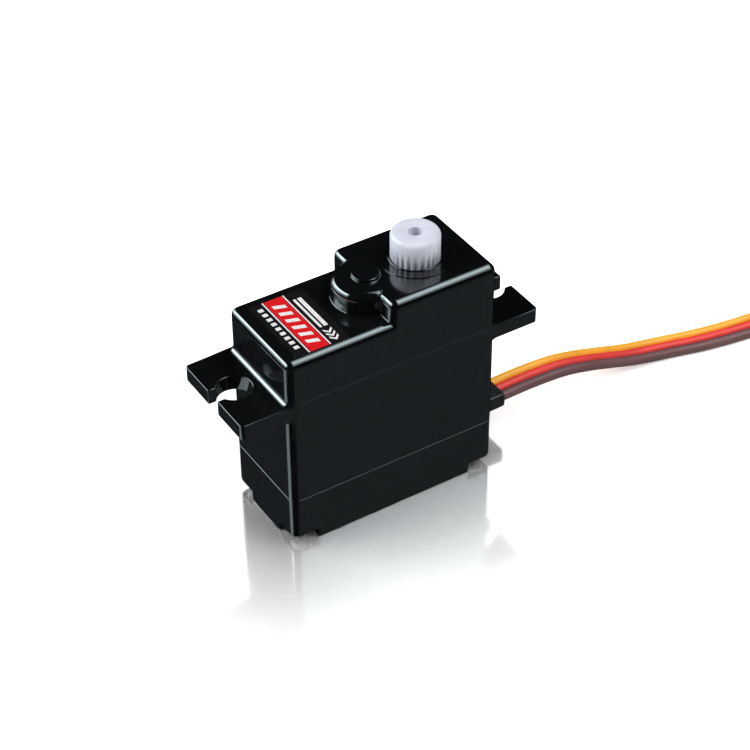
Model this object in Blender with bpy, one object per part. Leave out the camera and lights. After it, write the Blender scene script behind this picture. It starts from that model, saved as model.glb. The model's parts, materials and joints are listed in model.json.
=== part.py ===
"""Mini servo motor: case, nylon gear train, DC motor, potentiometer, board and three-wire lead.

Frame: origin at the centre of the case's underside, +Z up, +X towards the output shaft and
the lead, -Y towards the long side that is nearest the viewer. Lengths are in metres.
Run it in Blender: blender --background --python part.py
"""
import math

import bmesh
import bpy
from mathutils import Matrix, Vector

MM = 0.001

# ---- case ----------------------------------------------------------------------------------
CASE_LENGTH = 28.0 * MM
CASE_WIDTH = 13.2 * MM
CASE_WALL = 1.0 * MM
CASE_ROUNDING = 1.0 * MM
COVER_TOP = 6.85 * MM  # parting line between the bottom cover and the middle case
DECK_TOP = 21.1 * MM  # top of the ears and of the gear deck
DECK_THICKNESS = 1.0 * MM
SPIGOT_HEIGHT = 0.6 * MM  # raised part of the deck that locates the top case
LOW_ROOF = 27.0 * MM  # top face over the motor
HIGH_ROOF = 29.8 * MM  # top face over the gears
STEP_X = -0.3 * MM  # where the low roof steps up to the high roof
SEAM = 0.1 * MM  # gap between the cover and the middle case
TOP_SEAM = 0.12 * MM  # gap between the middle case and the top case
SKIRT_REACH = 0.35 * MM  # the top case flares out over the ears by this much
SKIRT_LIP = 0.08 * MM
SKIRT_HEIGHT = 0.42 * MM
SPIGOT_MARGIN = 0.15 * MM
COVER_INSET = 0.02 * MM  # the cover stands this far inside the middle case
RECESS_HEIGHT = 1.3 * MM  # the cover's corners are cut away for the screw heads
RECESS_LENGTH = 3.4 * MM
POST_SIZE = 1.9 * MM  # screw posts in the corners of the hollow, past the wall
COVER_FLOOR = 2.3 * MM
MOTOR_HOLE_RADIUS = 2.2 * MM  # in the deck, around the motor's boss
POT_HOLE_RADIUS = 1.35 * MM  # in the deck, around the potentiometer's bushing

# ---- ears ----------------------------------------------------------------------------------
EAR_SPAN = 40.0 * MM
EAR_THICKNESS = 2.0 * MM
EAR_WIDTH = 13.05 * MM
EAR_ROUNDING = 0.5 * MM
SLOT_X = 17.2 * MM
SLOT_RADIUS = 2.1 * MM
SLOT_MOUTH = 2.1 * MM

# ---- screws --------------------------------------------------------------------------------
SCREW_X = 12.3 * MM
SCREW_Y = 4.95 * MM
SCREW_RADIUS = 0.6 * MM
SCREW_HOLE_RADIUS = 0.7 * MM
SCREW_HEAD_RADIUS = 1.2 * MM
SCREW_HEAD_HEIGHT = 0.8 * MM
SCREW_TIP = 24.0 * MM
SCREW_HOLE_TOP = 24.6 * MM
SCREW_SEAT_RADIUS = 1.3 * MM  # the heads sink into seats in the cover's corner recesses
SCREW_SEAT_TOP = 1.8 * MM
SCREW_HEAD_GAP = 0.1 * MM
CROSS_ARM = 0.75 * MM
CROSS_WIDTH = 0.28 * MM
CROSS_DEPTH = 0.5 * MM

# ---- gear train ----------------------------------------------------------------------------
OUTPUT_X = 7.0 * MM  # axis of the output shaft
MIDDLE_X = 0.3 * MM  # axis of the fixed middle axle, under the round boss
PINION_TEETH = 9
FIRST_WHEEL_TEETH, FIRST_PINION_TEETH = 40, 12
SECOND_WHEEL_TEETH, SECOND_PINION_TEETH = 42, 12
THIRD_WHEEL_TEETH, THIRD_PINION_TEETH = 42, 14
OUTPUT_WHEEL_TEETH = 40
MODULE = 2 * (OUTPUT_X - MIDDLE_X) / (THIRD_PINION_TEETH + OUTPUT_WHEEL_TEETH)
MOTOR_X = MIDDLE_X - MODULE * (PINION_TEETH + FIRST_WHEEL_TEETH) / 2
ADDENDUM = 0.85  # of the module
DEDENDUM = 1.15  # of the module
TOOTH_SHARE = 0.40  # of the tooth pitch, at the pitch circle
PRESSURE_SLOPE = math.tan(math.radians(22))

FIRST_LEVEL = 22.0 * MM
SECOND_LEVEL = 23.3 * MM
THIRD_LEVEL = 24.65 * MM
OUTPUT_LEVEL = 26.1 * MM
WHEEL_THICKNESS = 1.0 * MM
OUTPUT_WHEEL_TOP = 28.3 * MM
THIRD_PINION_TOP = 28.2 * MM
PINION_REACH = 0.05 * MM  # a double gear's pinion stands this far past the wheel it drives
SHAFT_SEAT_DEPTH = 1.5 * MM  # how far the potentiometer's shaft goes into the output gear
AXLE_RADIUS = 0.75 * MM
AXLE_BOTTOM = 20.5 * MM
AXLE_TOP = 29.2 * MM
RUNNING_GAP = 0.06 * MM  # radial clearance of each running fit
TIGHT_GAP = 0.03 * MM  # radial clearance of what is pressed on a shaft

# ---- output spline -------------------------------------------------------------------------
SPLINE_TEETH = 25
SPLINE_RADIUS = 2.925 * MM
SPLINE_ROOT_RADIUS = 2.66 * MM
SPLINE_TOP = 33.3 * MM
SPLINE_CHAMFER = 0.18 * MM
SPLINE_CHAMFER_DEPTH = 0.25 * MM
HORN_SCREW_RADIUS = 0.8 * MM
HORN_SCREW_DEPTH = 4.6 * MM
HUB_RADIUS = 3.0 * MM
HUB_DEPTH = 0.3 * MM  # the teeth start this far below the mouth of the roof's bore
ROOF_BORE_RADIUS = 3.08 * MM
COLLAR_RADIUS = 4.4 * MM  # raised ring of the roof around the bore
COLLAR_HEIGHT = 0.25 * MM

# ---- round boss over the middle axle -------------------------------------------------------
BOSS_RADIUS = 4.1 * MM
BOSS_FILLET = 1.1 * MM
PAD_RADIUS = 1.65 * MM
PAD_HEIGHT = 0.4 * MM

# ---- motor ---------------------------------------------------------------------------------
MOTOR_RADIUS = 5.0 * MM
MOTOR_CAN_WALL = 0.5 * MM
MOTOR_CAN_BOTTOM = 8.6 * MM
MOTOR_CAN_TOP = 19.8 * MM
MOTOR_CAP_BOTTOM = 7.1 * MM
MOTOR_CAP_TOP = 8.5 * MM
MOTOR_EDGE = 0.4 * MM  # chamfer on the can's closed end
MOTOR_BOSS_RADIUS = 1.5 * MM
MOTOR_BOSS_HEIGHT = 1.0 * MM
MOTOR_SHAFT_RADIUS = 0.5 * MM
PINION_OVERHANG = 0.1 * MM  # the motor's pinion reaches this far past its wheel, above and below
ARMATURE_RADIUS = 3.3 * MM
ARMATURE_BOTTOM = 11.4 * MM
ARMATURE_HEIGHT = 6.4 * MM
POLES = 3
POLE_HALF_ANGLE = 50  # degrees
SLOT_HALF_ANGLE = 6  # degrees, at the bottom of the slot between two poles
SLOT_FLOOR = 0.55  # of the armature's radius
COMMUTATOR_RADIUS = 1.2 * MM
COMMUTATOR_BOTTOM = 9.2 * MM
COMMUTATOR_HEIGHT = 1.6 * MM
MAGNET_INNER_RADIUS = 3.55 * MM
MAGNET_OUTER_RADIUS = 4.4 * MM
MAGNET_HALF_ANGLE = 62  # degrees
MAGNET_BOTTOM = 11.0 * MM
MAGNET_HEIGHT = 7.4 * MM
BRUSH_BOTTOM = 9.3 * MM
BRUSH_HALF_WIDTH = 0.5 * MM
BRUSH_FACE = 1.3 * MM  # distance of the brush's face from the shaft's axis
BRUSH_THICKNESS = 0.15 * MM
BRUSH_HEIGHT = 1.2 * MM
BRUSH_ARM_LEVELS = (0.9 * MM, 1.1 * MM)
TERMINAL_Y = 3.2 * MM
TERMINAL_HALF_SIZE = (0.45 * MM, 0.12 * MM)
TERMINAL_ROOM = 0.15 * MM
TERMINAL_BOTTOM = 4.9 * MM
TERMINAL_LENGTH = 5.0 * MM

# ---- potentiometer -------------------------------------------------------------------------
POT_RADIUS = 4.0 * MM
POT_BOTTOM = 14.0 * MM
POT_TOP = 19.4 * MM
POT_WALL = 0.6 * MM
POT_BUSHING_RADIUS = 1.2 * MM
POT_TRACK_THICKNESS = 0.8 * MM
POT_SHAFT_BOTTOM = 15.2 * MM
WIPER_RADIUS = 2.6 * MM
WIPER_THICKNESS = 0.6 * MM
WIPER_NOTCH = (1.6 * MM, 0.6 * MM)  # where the notch starts, and half its width
POT_LEAD_PITCH = 2.0 * MM
POT_LEAD_RADIUS = 0.35 * MM
SMALL_GAP = 0.1 * MM  # between small inner pieces

# ---- circuit board -------------------------------------------------------------------------
BOARD_BOTTOM = 5.4 * MM
BOARD_TOP = 6.2 * MM
BOARD_LENGTH = 21.4 * MM
BOARD_WIDTH = 10.6 * MM
CHIP_GAP = 0.05 * MM
# Name, centre and size in mm, and finish of each part under the board.
BOARD_PARTS = (
    ("controller_chip", (2.6, 0.0), (6.2, 5.3, 1.5), "chip_epoxy"),
    ("bridge_chip_1", (-2.6, -3.1), (3.0, 3.9, 1.1), "chip_epoxy"),
    ("bridge_chip_2", (-2.6, 3.1), (3.0, 3.9, 1.1), "chip_epoxy"),
    ("filter_capacitor", (8.2, -3.4), (3.2, 1.6, 1.2), "ceramic"),
    ("resonator", (8.2, 3.2), (3.2, 1.4, 1.0), "ceramic"),
)

# ---- lead ----------------------------------------------------------------------------------
WIRE_DIAMETER = 1.3 * MM
WIRE_PITCH = 1.33 * MM
PLUG_PITCH = 2.54 * MM
RELIEF_FLANGE_X = 12.0 * MM  # inner face of the flange behind the case's wall
RELIEF_NECK_X = 12.7 * MM  # outer face of the flange
RELIEF_END_X = 19.0 * MM
RELIEF_FLANGE = (0.6 * MM, 0.5 * MM)  # how far the flange reaches past the neck, in Y and Z
RELIEF_TAPER = 0.94
RELIEF_EDGE = 0.25 * MM
RELIEF_CLEARANCE = 0.1 * MM
RELIEF_WIDTH = 4.7 * MM
RELIEF_HEIGHT = 2.1 * MM
RELIEF_Z = 4.55 * MM
PLUG_REAR_X = 85.5 * MM
PLUG_LENGTH = 14.0 * MM
PLUG_WIDTH = 7.7 * MM
PLUG_HEIGHT = 2.6 * MM
PLUG_Y = 6.7 * MM
PLUG_EDGE = 0.25 * MM
CAVITY_DEPTH = 8.0 * MM
CAVITY_HALF_SIZE = 0.65 * MM
WINDOW_SPAN = (5.2 * MM, 7.2 * MM)  # from the plug's mouth, over each contact's latch
WINDOW_HALF_WIDTH = 0.45 * MM
CONTACT_LENGTH = 7.0 * MM
CONTACT_HALF_SIZE = 0.5 * MM
PIN_HOLE_DEPTH = 5.0 * MM
PIN_HOLE_HALF_SIZE = 0.36 * MM
FACE_GAP = 0.3 * MM
FAN_LENGTH = 7.0 * MM  # the wires spread to the plug's pitch over this length

# The middle wire's route: out of the strain relief, down to the surface, away, then folded.
LEAD_ROUTE = [
    (19.3, 0.0, 4.55),
    (22.2, 0.0, 4.60),
    (25.5, 0.0, 4.52),
    (29.0, 0.0, 4.20),
    (32.5, 0.0, 3.40),
    (36.0, -0.05, 2.38),
    (39.3, -0.2, 1.45),
    (42.5, -0.45, 0.87),
    (46.0, -1.1, 0.67),
    (50.0, -2.15, 0.67),
    (55.0, -3.05, 0.67),
    (61.0, -3.7, 0.67),
    (68.0, -4.2, 0.67),
    (76.0, -4.5, 0.67),
    (85.0, -4.6, 0.67),
    (93.0, -4.6, 0.67),
    (95.5, -4.6, 0.67),
    (97.34, -3.84, 0.67),
    (98.1, -2.0, 0.67),
    (97.34, -0.16, 0.67),
    (95.5, 0.6, 0.67),
    (93.0, 0.6, 0.67),
    (87.0, 0.6, 0.67),
    (79.0, 0.6, 0.67),
    (73.5, 0.6, 0.67),
    (71.0, 0.6, 0.67),
    (69.16, 1.36, 0.67),
    (68.4, 3.2, 0.67),
    (69.16, 5.04, 0.67),
    (71.0, 5.8, 0.67),
    (73.5, 5.92, 0.67),
    (75.5, 6.15, 0.67),
    (79.5, 6.55, 0.75),
    (82.5, 6.7, 1.20),
    (85.2, 6.7, 1.30),
]

# ---- label ---------------------------------------------------------------------------------
LABEL_CENTRE = (-8.8 * MM, -0.4 * MM)
LABEL_SIZE = (7.0 * MM, 10.6 * MM)
LABEL_THICKNESS = 0.08 * MM
LABEL_ROUNDING = 0.4 * MM
LABEL_LIFT = 0.02 * MM

CIRCLE_SEGMENTS = 32
SMALL_CIRCLE_SEGMENTS = 16
OVERLAP = 0.05 * MM  # how far shapes reach into each other before they are united
BEYOND = 1.0 * MM  # how far a cutting shape reaches past the surface it cuts


# ---- scene and materials -------------------------------------------------------------------
def clear_scene():
    for obj in list(bpy.data.objects):
        bpy.data.objects.remove(obj, do_unlink=True)


def material(name, colour, roughness, metallic=0.0):
    """The named material, made on first use."""
    found = bpy.data.materials.get(name)
    if found:
        return found
    made = bpy.data.materials.new(name)
    made.use_nodes = True
    shader = made.node_tree.nodes["Principled BSDF"]
    shader.inputs["Base Color"].default_value = (*colour, 1.0)
    shader.inputs["Roughness"].default_value = roughness
    shader.inputs["Metallic"].default_value = metallic
    return made


def black_abs():
    return material("black_abs", (0.012, 0.013, 0.015), 0.18)


def steel():
    return material("steel", (0.62, 0.62, 0.63), 0.3, 1.0)


def brass():
    return material("brass", (0.78, 0.58, 0.28), 0.32, 1.0)


def nylon():
    return material("white_nylon", (0.80, 0.81, 0.84), 0.35)


def black_rubber():
    return material("black_rubber", (0.02, 0.02, 0.02), 0.6)


# ---- shapes --------------------------------------------------------------------------------
def add_object(name, bm, finish, location=(0.0, 0.0, 0.0)):
    """An object from a bmesh, with flat faces kept sharp and round ones smooth."""
    bmesh.ops.recalc_face_normals(bm, faces=bm.faces)
    mesh = bpy.data.meshes.new(name)
    bm.to_mesh(mesh)
    bm.free()
    mesh.materials.append(finish)
    mesh.shade_smooth()
    mesh.set_sharp_from_angle(angle=math.radians(32))
    obj = bpy.data.objects.new(name, mesh)
    obj.location = location
    bpy.context.collection.objects.link(obj)
    return obj


def box_mesh(low, high):
    bm = bmesh.new()
    low, high = Vector(low), Vector(high)
    size = high - low
    place = Matrix.Translation((low + high) / 2) @ Matrix.Diagonal((*size, 1.0))
    bmesh.ops.create_cube(bm, size=1.0, matrix=place)
    return bm


def prism_mesh(outline, bottom, top):
    """A closed outline of (x, y) points, extruded from bottom to top."""
    bm = bmesh.new()
    lower = [bm.verts.new((x, y, bottom)) for x, y in outline]
    face = bm.faces.new(lower)
    extruded = bmesh.ops.extrude_face_region(bm, geom=[face])
    moved = [item for item in extruded["geom"] if isinstance(item, bmesh.types.BMVert)]
    bmesh.ops.translate(bm, vec=(0.0, 0.0, top - bottom), verts=moved)
    return bm


def circle(radius, segments=CIRCLE_SEGMENTS, centre=(0.0, 0.0)):
    turn = math.tau / segments
    return [
        (centre[0] + radius * math.cos(i * turn), centre[1] + radius * math.sin(i * turn))
        for i in range(segments)
    ]


def arc(centre, radius, start, end, steps):
    """Points from angle start to angle end, in degrees."""
    angles = [math.radians(start + (end - start) * i / steps) for i in range(steps + 1)]
    return [(centre[0] + radius * math.cos(a), centre[1] + radius * math.sin(a)) for a in angles]


def rounded_outline(half_x, half_y, radius):
    """A rectangle about the origin with round corners."""
    outline = []
    for start, (side_x, side_y) in zip((0, 90, 180, 270), ((1, 1), (-1, 1), (-1, -1), (1, -1))):
        centre = (side_x * (half_x - radius), side_y * (half_y - radius))
        outline += arc(centre, radius, start, start + 90, 4)
    return outline


def lofted_mesh(levels):
    """A closed skin through outlines with the same number of points. levels are (outline, z)."""
    bm = bmesh.new()
    rings = [[bm.verts.new((x, y, z)) for x, y in outline] for outline, z in levels]
    count = len(rings[0])
    for lower, upper in zip(rings, rings[1:]):
        for i in range(count):
            j = (i + 1) % count
            bm.faces.new((lower[i], lower[j], upper[j], upper[i]))
    bm.faces.new(rings[0])
    bm.faces.new(rings[-1])
    return bm


def turned_mesh(profile, segments=CIRCLE_SEGMENTS):
    """A profile of (radius, z) points turned about Z. It is open at neither end: an end off
    the axis gets a flat cap."""
    bm = bmesh.new()
    rings = []
    for radius, z in profile:
        if radius == 0.0:
            rings.append([bm.verts.new((0.0, 0.0, z))] * segments)
        else:
            rings.append([bm.verts.new((x, y, z)) for x, y in circle(radius, segments)])
    for lower, upper in zip(rings, rings[1:]):
        for i in range(segments):
            j = (i + 1) % segments
            corners = [lower[i], lower[j], upper[j], upper[i]]
            bm.faces.new(list(dict.fromkeys(corners)))
    for ring in (rings[0], rings[-1]):
        if len(set(ring)) > 1:
            bm.faces.new(ring)
    return bm


def combined_mesh(parts):
    """Shapes that don't touch each other, as one bmesh."""
    joined = bmesh.new()
    for part in parts:
        mesh = bpy.data.meshes.new("part")
        bmesh.ops.recalc_face_normals(part, faces=part.faces)
        part.to_mesh(mesh)
        part.free()
        joined.from_mesh(mesh)
        bpy.data.meshes.remove(mesh)
    return joined


def apply_boolean(obj, tool_mesh, operation):
    """Unite obj with a shape, or cut the shape from it."""
    tool = add_object("tool", tool_mesh, obj.data.materials[0])
    modifier = obj.modifiers.new("boolean", "BOOLEAN")
    modifier.operation = operation
    modifier.solver = "EXACT"
    modifier.object = tool
    evaluated = obj.evaluated_get(bpy.context.evaluated_depsgraph_get())
    result = bpy.data.meshes.new_from_object(evaluated)
    obj.modifiers.clear()
    old = obj.data
    name = old.name
    obj.data = result
    bpy.data.meshes.remove(old)
    bpy.data.objects.remove(tool, do_unlink=True)
    tidy = bmesh.new()
    tidy.from_mesh(result)
    bmesh.ops.remove_doubles(tidy, verts=tidy.verts, dist=0.002 * MM)
    bmesh.ops.dissolve_limit(
        tidy, angle_limit=math.radians(0.2), verts=tidy.verts, edges=tidy.edges
    )
    tidy.to_mesh(result)
    tidy.free()
    result.name = name
    result.shade_smooth()
    result.set_sharp_from_angle(angle=math.radians(32))


def unite(obj, *shapes):
    for shape in shapes:
        apply_boolean(obj, shape, "UNION")


def cut(obj, *shapes):
    for shape in shapes:
        apply_boolean(obj, shape, "DIFFERENCE")


def bevel_edges(bm, chosen, width, segments):
    bmesh.ops.bevel(
        bm,
        geom=[edge for edge in bm.edges if chosen(edge)],
        offset=width,
        segments=segments,
        profile=0.5,
        affect="EDGES",
        clamp_overlap=False,
    )


def is_upright(edge):
    start, end = (vert.co for vert in edge.verts)
    return abs((end - start).normalized().z) > 0.99


def corners(x, y):
    return [(sx * x, sy * y) for sx in (-1, 1) for sy in (-1, 1)]


def hollow_meshes(low, high, left, right):
    """Two crossed boxes that hollow the case and leave a screw post in each corner."""
    inner_x = CASE_LENGTH / 2 - CASE_WALL
    inner_y = CASE_WIDTH / 2 - CASE_WALL
    post_x = inner_x - POST_SIZE
    post_y = inner_y - POST_SIZE
    long_box = box_mesh(
        (max(left, -inner_x), -post_y, low), (min(right, inner_x), post_y, high)
    )
    wide_box = box_mesh(
        (max(left, -post_x), -inner_y, low), (min(right, post_x), inner_y, high)
    )
    return long_box, wide_box


def screw_holes(bottom, top):
    return combined_mesh(
        [
            prism_mesh(
                circle(SCREW_HOLE_RADIUS, SMALL_CIRCLE_SEGMENTS, centre), bottom, top
            )
            for centre in corners(SCREW_X, SCREW_Y)
        ]
    )


# ---- case ----------------------------------------------------------------------------------
def make_top_case():
    """A stepped cover over the gears: low over the motor, high over the train."""
    left, right = -CASE_LENGTH / 2, CASE_LENGTH / 2
    bottom = DECK_TOP + TOP_SEAM
    profile = [
        (left, bottom),
        (right, bottom),
        (right, HIGH_ROOF),
        (STEP_X, HIGH_ROOF),
        (STEP_X, LOW_ROOF),
        (left, LOW_ROOF),
    ]
    # The profile is drawn in X and Z, so the prism made in X and Y is turned upright.
    bm = prism_mesh(profile, -CASE_WIDTH / 2, CASE_WIDTH / 2)
    bmesh.ops.rotate(bm, verts=bm.verts, matrix=Matrix.Rotation(math.pi / 2, 3, "X"))
    tiny = 0.01 * MM

    def is_outer(edge):
        at_bottom = all(abs(vert.co.z - bottom) < tiny for vert in edge.verts)
        in_step = all(
            abs(vert.co.x - STEP_X) < tiny and abs(vert.co.z - LOW_ROOF) < tiny
            for vert in edge.verts
        )
        return not at_bottom and not in_step

    bevel_edges(bm, is_outer, CASE_ROUNDING, 4)
    case = add_object("top_case", bm, black_abs())

    fillet = arc((BOSS_RADIUS - BOSS_FILLET, HIGH_ROOF - BOSS_FILLET), BOSS_FILLET, 0, 90, 4)
    boss_profile = [(0.0, LOW_ROOF - CASE_WALL / 2), (BOSS_RADIUS, LOW_ROOF - CASE_WALL / 2)]
    boss_profile += fillet
    boss_profile += [
        (PAD_RADIUS, HIGH_ROOF),
        (PAD_RADIUS, HIGH_ROOF + PAD_HEIGHT / 2),
        (PAD_RADIUS - PAD_HEIGHT / 2, HIGH_ROOF + PAD_HEIGHT),
        (0.0, HIGH_ROOF + PAD_HEIGHT),
    ]
    boss = turned_mesh(boss_profile)
    bmesh.ops.translate(boss, vec=(MIDDLE_X, 0.0, 0.0), verts=boss.verts)
    collar_outline = circle(COLLAR_RADIUS, 2 * CIRCLE_SEGMENTS, (OUTPUT_X, 0.0))
    collar = prism_mesh(collar_outline, HIGH_ROOF - CASE_WALL / 2, HIGH_ROOF + COLLAR_HEIGHT)
    unite(case, boss, collar, skirt_mesh(bottom))

    below = bottom - BEYOND
    cut(case, *hollow_meshes(below, LOW_ROOF - CASE_WALL, left, right))
    cut(case, *hollow_meshes(below, HIGH_ROOF - CASE_WALL, STEP_X + CASE_WALL, right))
    boss_hollow = circle(BOSS_RADIUS - CASE_WALL, CIRCLE_SEGMENTS, (MIDDLE_X, 0.0))
    cut(case, prism_mesh(boss_hollow, below, HIGH_ROOF - CASE_WALL))
    axle_seat = circle(AXLE_RADIUS + RUNNING_GAP, SMALL_CIRCLE_SEGMENTS, (MIDDLE_X, 0.0))
    cut(case, prism_mesh(axle_seat, HIGH_ROOF - CASE_WALL - OVERLAP, AXLE_TOP + FACE_GAP / 2))
    roof_bore = circle(ROOF_BORE_RADIUS, CIRCLE_SEGMENTS, (OUTPUT_X, 0.0))
    cut(case, prism_mesh(roof_bore, HIGH_ROOF - CASE_WALL - BEYOND, HIGH_ROOF + BEYOND))
    cut(case, screw_holes(below, SCREW_HOLE_TOP))
    return case


def skirt_mesh(bottom):
    """A low slope along the bottom of the top case, proud of it only over the ears."""
    half_y = CASE_WIDTH / 2 - OVERLAP
    levels = (
        (bottom + OVERLAP, CASE_LENGTH / 2 + SKIRT_REACH),
        (bottom + OVERLAP + SKIRT_LIP, CASE_LENGTH / 2 + SKIRT_REACH),
        (bottom + SKIRT_HEIGHT, CASE_LENGTH / 2 - OVERLAP),
    )
    return lofted_mesh([(rounded_outline(half_x, half_y, CASE_ROUNDING), z) for z, half_x in levels])


def keyhole(side):
    """The ear's slot: a round hole open to the ear's end through a narrower mouth."""
    half_mouth = SLOT_MOUTH / 2
    opening = math.degrees(math.asin(half_mouth / SLOT_RADIUS))
    end_x = EAR_SPAN / 2 + BEYOND
    outline = arc((SLOT_X, 0.0), SLOT_RADIUS, opening, 360 - opening, 24)
    outline += [(end_x, -half_mouth), (end_x, half_mouth)]
    return [(side * x, y) for x, y in outline]


def make_middle_case():
    """The body with the mounting ears, and the deck that carries the gears and the motor."""
    half_x, half_y = CASE_LENGTH / 2, CASE_WIDTH / 2
    bottom = COVER_TOP + SEAM
    bm = box_mesh((-half_x, -half_y, bottom), (half_x, half_y, DECK_TOP))
    bevel_edges(bm, is_upright, CASE_ROUNDING, 4)
    case = add_object("middle_case", bm, black_abs())

    ear_bottom = DECK_TOP - EAR_THICKNESS
    ears = box_mesh(
        (-EAR_SPAN / 2, -EAR_WIDTH / 2, ear_bottom), (EAR_SPAN / 2, EAR_WIDTH / 2, DECK_TOP)
    )
    bevel_edges(ears, is_upright, EAR_ROUNDING, 3)
    unite(case, ears)

    spigot_top = DECK_TOP + SPIGOT_HEIGHT
    for shape in hollow_meshes(DECK_TOP - OVERLAP, spigot_top, -half_x, half_x):
        for vert in shape.verts:
            vert.co.x -= math.copysign(SPIGOT_MARGIN, vert.co.x)
            vert.co.y -= math.copysign(SPIGOT_MARGIN, vert.co.y)
        unite(case, shape)

    deck_bottom = DECK_TOP - DECK_THICKNESS
    cut(case, *hollow_meshes(bottom - BEYOND, deck_bottom, -half_x, half_x))
    motor_hole = circle(MOTOR_HOLE_RADIUS, CIRCLE_SEGMENTS, (MOTOR_X, 0.0))
    pot_hole = circle(POT_HOLE_RADIUS, SMALL_CIRCLE_SEGMENTS, (OUTPUT_X, 0.0))
    axle_hole = circle(AXLE_RADIUS + RUNNING_GAP, SMALL_CIRCLE_SEGMENTS, (MIDDLE_X, 0.0))
    above = spigot_top + BEYOND
    cut(
        case,
        combined_mesh(
            [
                prism_mesh(keyhole(-1), ear_bottom - BEYOND, above),
                prism_mesh(keyhole(1), ear_bottom - BEYOND, above),
                prism_mesh(motor_hole, deck_bottom - BEYOND, above),
                prism_mesh(pot_hole, deck_bottom - BEYOND, above),
                prism_mesh(axle_hole, AXLE_BOTTOM - FACE_GAP / 2, above),
            ]
        ),
    )
    cut(case, screw_holes(bottom - BEYOND, above))
    return case


def make_bottom_cover():
    """The closing cover, with its corners cut away for the screws and a window for the lead."""
    half_x = CASE_LENGTH / 2 - COVER_INSET
    half_y = CASE_WIDTH / 2 - COVER_INSET / 2
    bm = box_mesh((-half_x, -half_y, 0.0), (half_x, half_y, COVER_TOP))
    bevel_edges(bm, is_upright, CASE_ROUNDING, 4)
    cover = add_object("bottom_cover", bm, black_abs())
    cut(cover, *hollow_meshes(COVER_FLOOR, COVER_TOP + BEYOND, -half_x, half_x))
    cut(cover, screw_holes(-BEYOND, COVER_TOP + BEYOND))
    recesses = []
    for x, y in corners(half_x, half_y):
        inner = Vector((x, y, 0.0))
        inner.x -= math.copysign(RECESS_LENGTH, x)
        inner.y -= math.copysign(RECESS_LENGTH, y)
        outer = Vector((x, y, 0.0)) + Vector((x, y, 0.0)).normalized() * BEYOND * 2
        low = (min(inner.x, outer.x), min(inner.y, outer.y), -BEYOND)
        high = (max(inner.x, outer.x), max(inner.y, outer.y), RECESS_HEIGHT)
        recesses.append(box_mesh(low, high))
    cut(cover, combined_mesh(recesses))
    seats = [
        prism_mesh(
            circle(SCREW_SEAT_RADIUS, SMALL_CIRCLE_SEGMENTS, centre), -BEYOND, SCREW_SEAT_TOP
        )
        for centre in corners(SCREW_X, SCREW_Y)
    ]
    cut(cover, combined_mesh(seats))
    half_width = RELIEF_WIDTH / 2 + RELIEF_CLEARANCE
    half_height = RELIEF_HEIGHT / 2 + RELIEF_CLEARANCE
    window = box_mesh(
        (half_x - CASE_WALL - BEYOND, -half_width, RELIEF_Z - half_height),
        (half_x + BEYOND, half_width, RELIEF_Z + half_height),
    )
    cut(cover, window)
    return cover


def cross_outline(arm, width):
    half = width / 2
    points = [(half, half), (arm, half), (arm, -half)]
    quarter = [(half, -half), (half, -arm), (-half, -arm)]
    opposite = [(-x, -y) for x, y in points + quarter]
    return points + quarter + opposite


def make_case_screws():
    """Four long cross-head screws, from the cover's corners up into the top case."""
    head_top = SCREW_SEAT_TOP - SCREW_HEAD_GAP
    head_bottom = head_top - SCREW_HEAD_HEIGHT
    profile = [
        (0.0, 0.0),
        (SCREW_HEAD_RADIUS * 0.8, 0.0),
        (SCREW_HEAD_RADIUS, SCREW_HEAD_HEIGHT * 0.35),
        (SCREW_HEAD_RADIUS, SCREW_HEAD_HEIGHT),
        (SCREW_RADIUS, SCREW_HEAD_HEIGHT),
        (SCREW_RADIUS, SCREW_TIP - head_bottom - SCREW_RADIUS),
        (0.0, SCREW_TIP - head_bottom),
    ]
    first = add_object("case_screw_1", turned_mesh(profile, SMALL_CIRCLE_SEGMENTS), steel())
    cut(first, prism_mesh(cross_outline(CROSS_ARM, CROSS_WIDTH), -BEYOND, CROSS_DEPTH))
    for number, (x, y) in enumerate(corners(SCREW_X, SCREW_Y), start=1):
        screw = first
        if number > 1:
            screw = bpy.data.objects.new(f"case_screw_{number}", first.data)
            bpy.context.collection.objects.link(screw)
        screw.location = (x, y, head_bottom)


def make_label():
    """The sticker on the low roof."""
    x, y = LABEL_CENTRE
    half_x, half_y = LABEL_SIZE[0] / 2, LABEL_SIZE[1] / 2
    bm = box_mesh((-half_x, -half_y, 0.0), (half_x, half_y, LABEL_THICKNESS))
    bevel_edges(bm, is_upright, LABEL_ROUNDING, 3)
    finish = material("label_film", (0.02, 0.02, 0.022), 0.3)
    add_object("label", bm, finish, (x, y, LOW_ROOF + LABEL_LIFT))


# ---- gears ---------------------------------------------------------------------------------
def gear_outline(teeth, first_angle):
    """Straight-flanked teeth, with the middle of one tooth at first_angle."""
    pitch_radius = MODULE * teeth / 2
    tip = pitch_radius + ADDENDUM * MODULE
    root = pitch_radius - DEDENDUM * MODULE
    half_pitch_tooth = TOOTH_SHARE * math.pi * MODULE / 2
    outline = []
    for number in range(teeth):
        middle = first_angle + number * math.tau / teeth
        for radius, side in ((root, -1), (tip, -1), (tip, 1), (root, 1)):
            half_width = half_pitch_tooth + (pitch_radius - radius) * PRESSURE_SLOPE
            angle = middle + side * half_width / radius
            outline.append((radius * math.cos(angle), radius * math.sin(angle)))
    return outline


def gap_angle(teeth, towards):
    """The first tooth's angle that leaves a gap, not a tooth, pointing towards an angle."""
    return towards + math.pi / teeth


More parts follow.
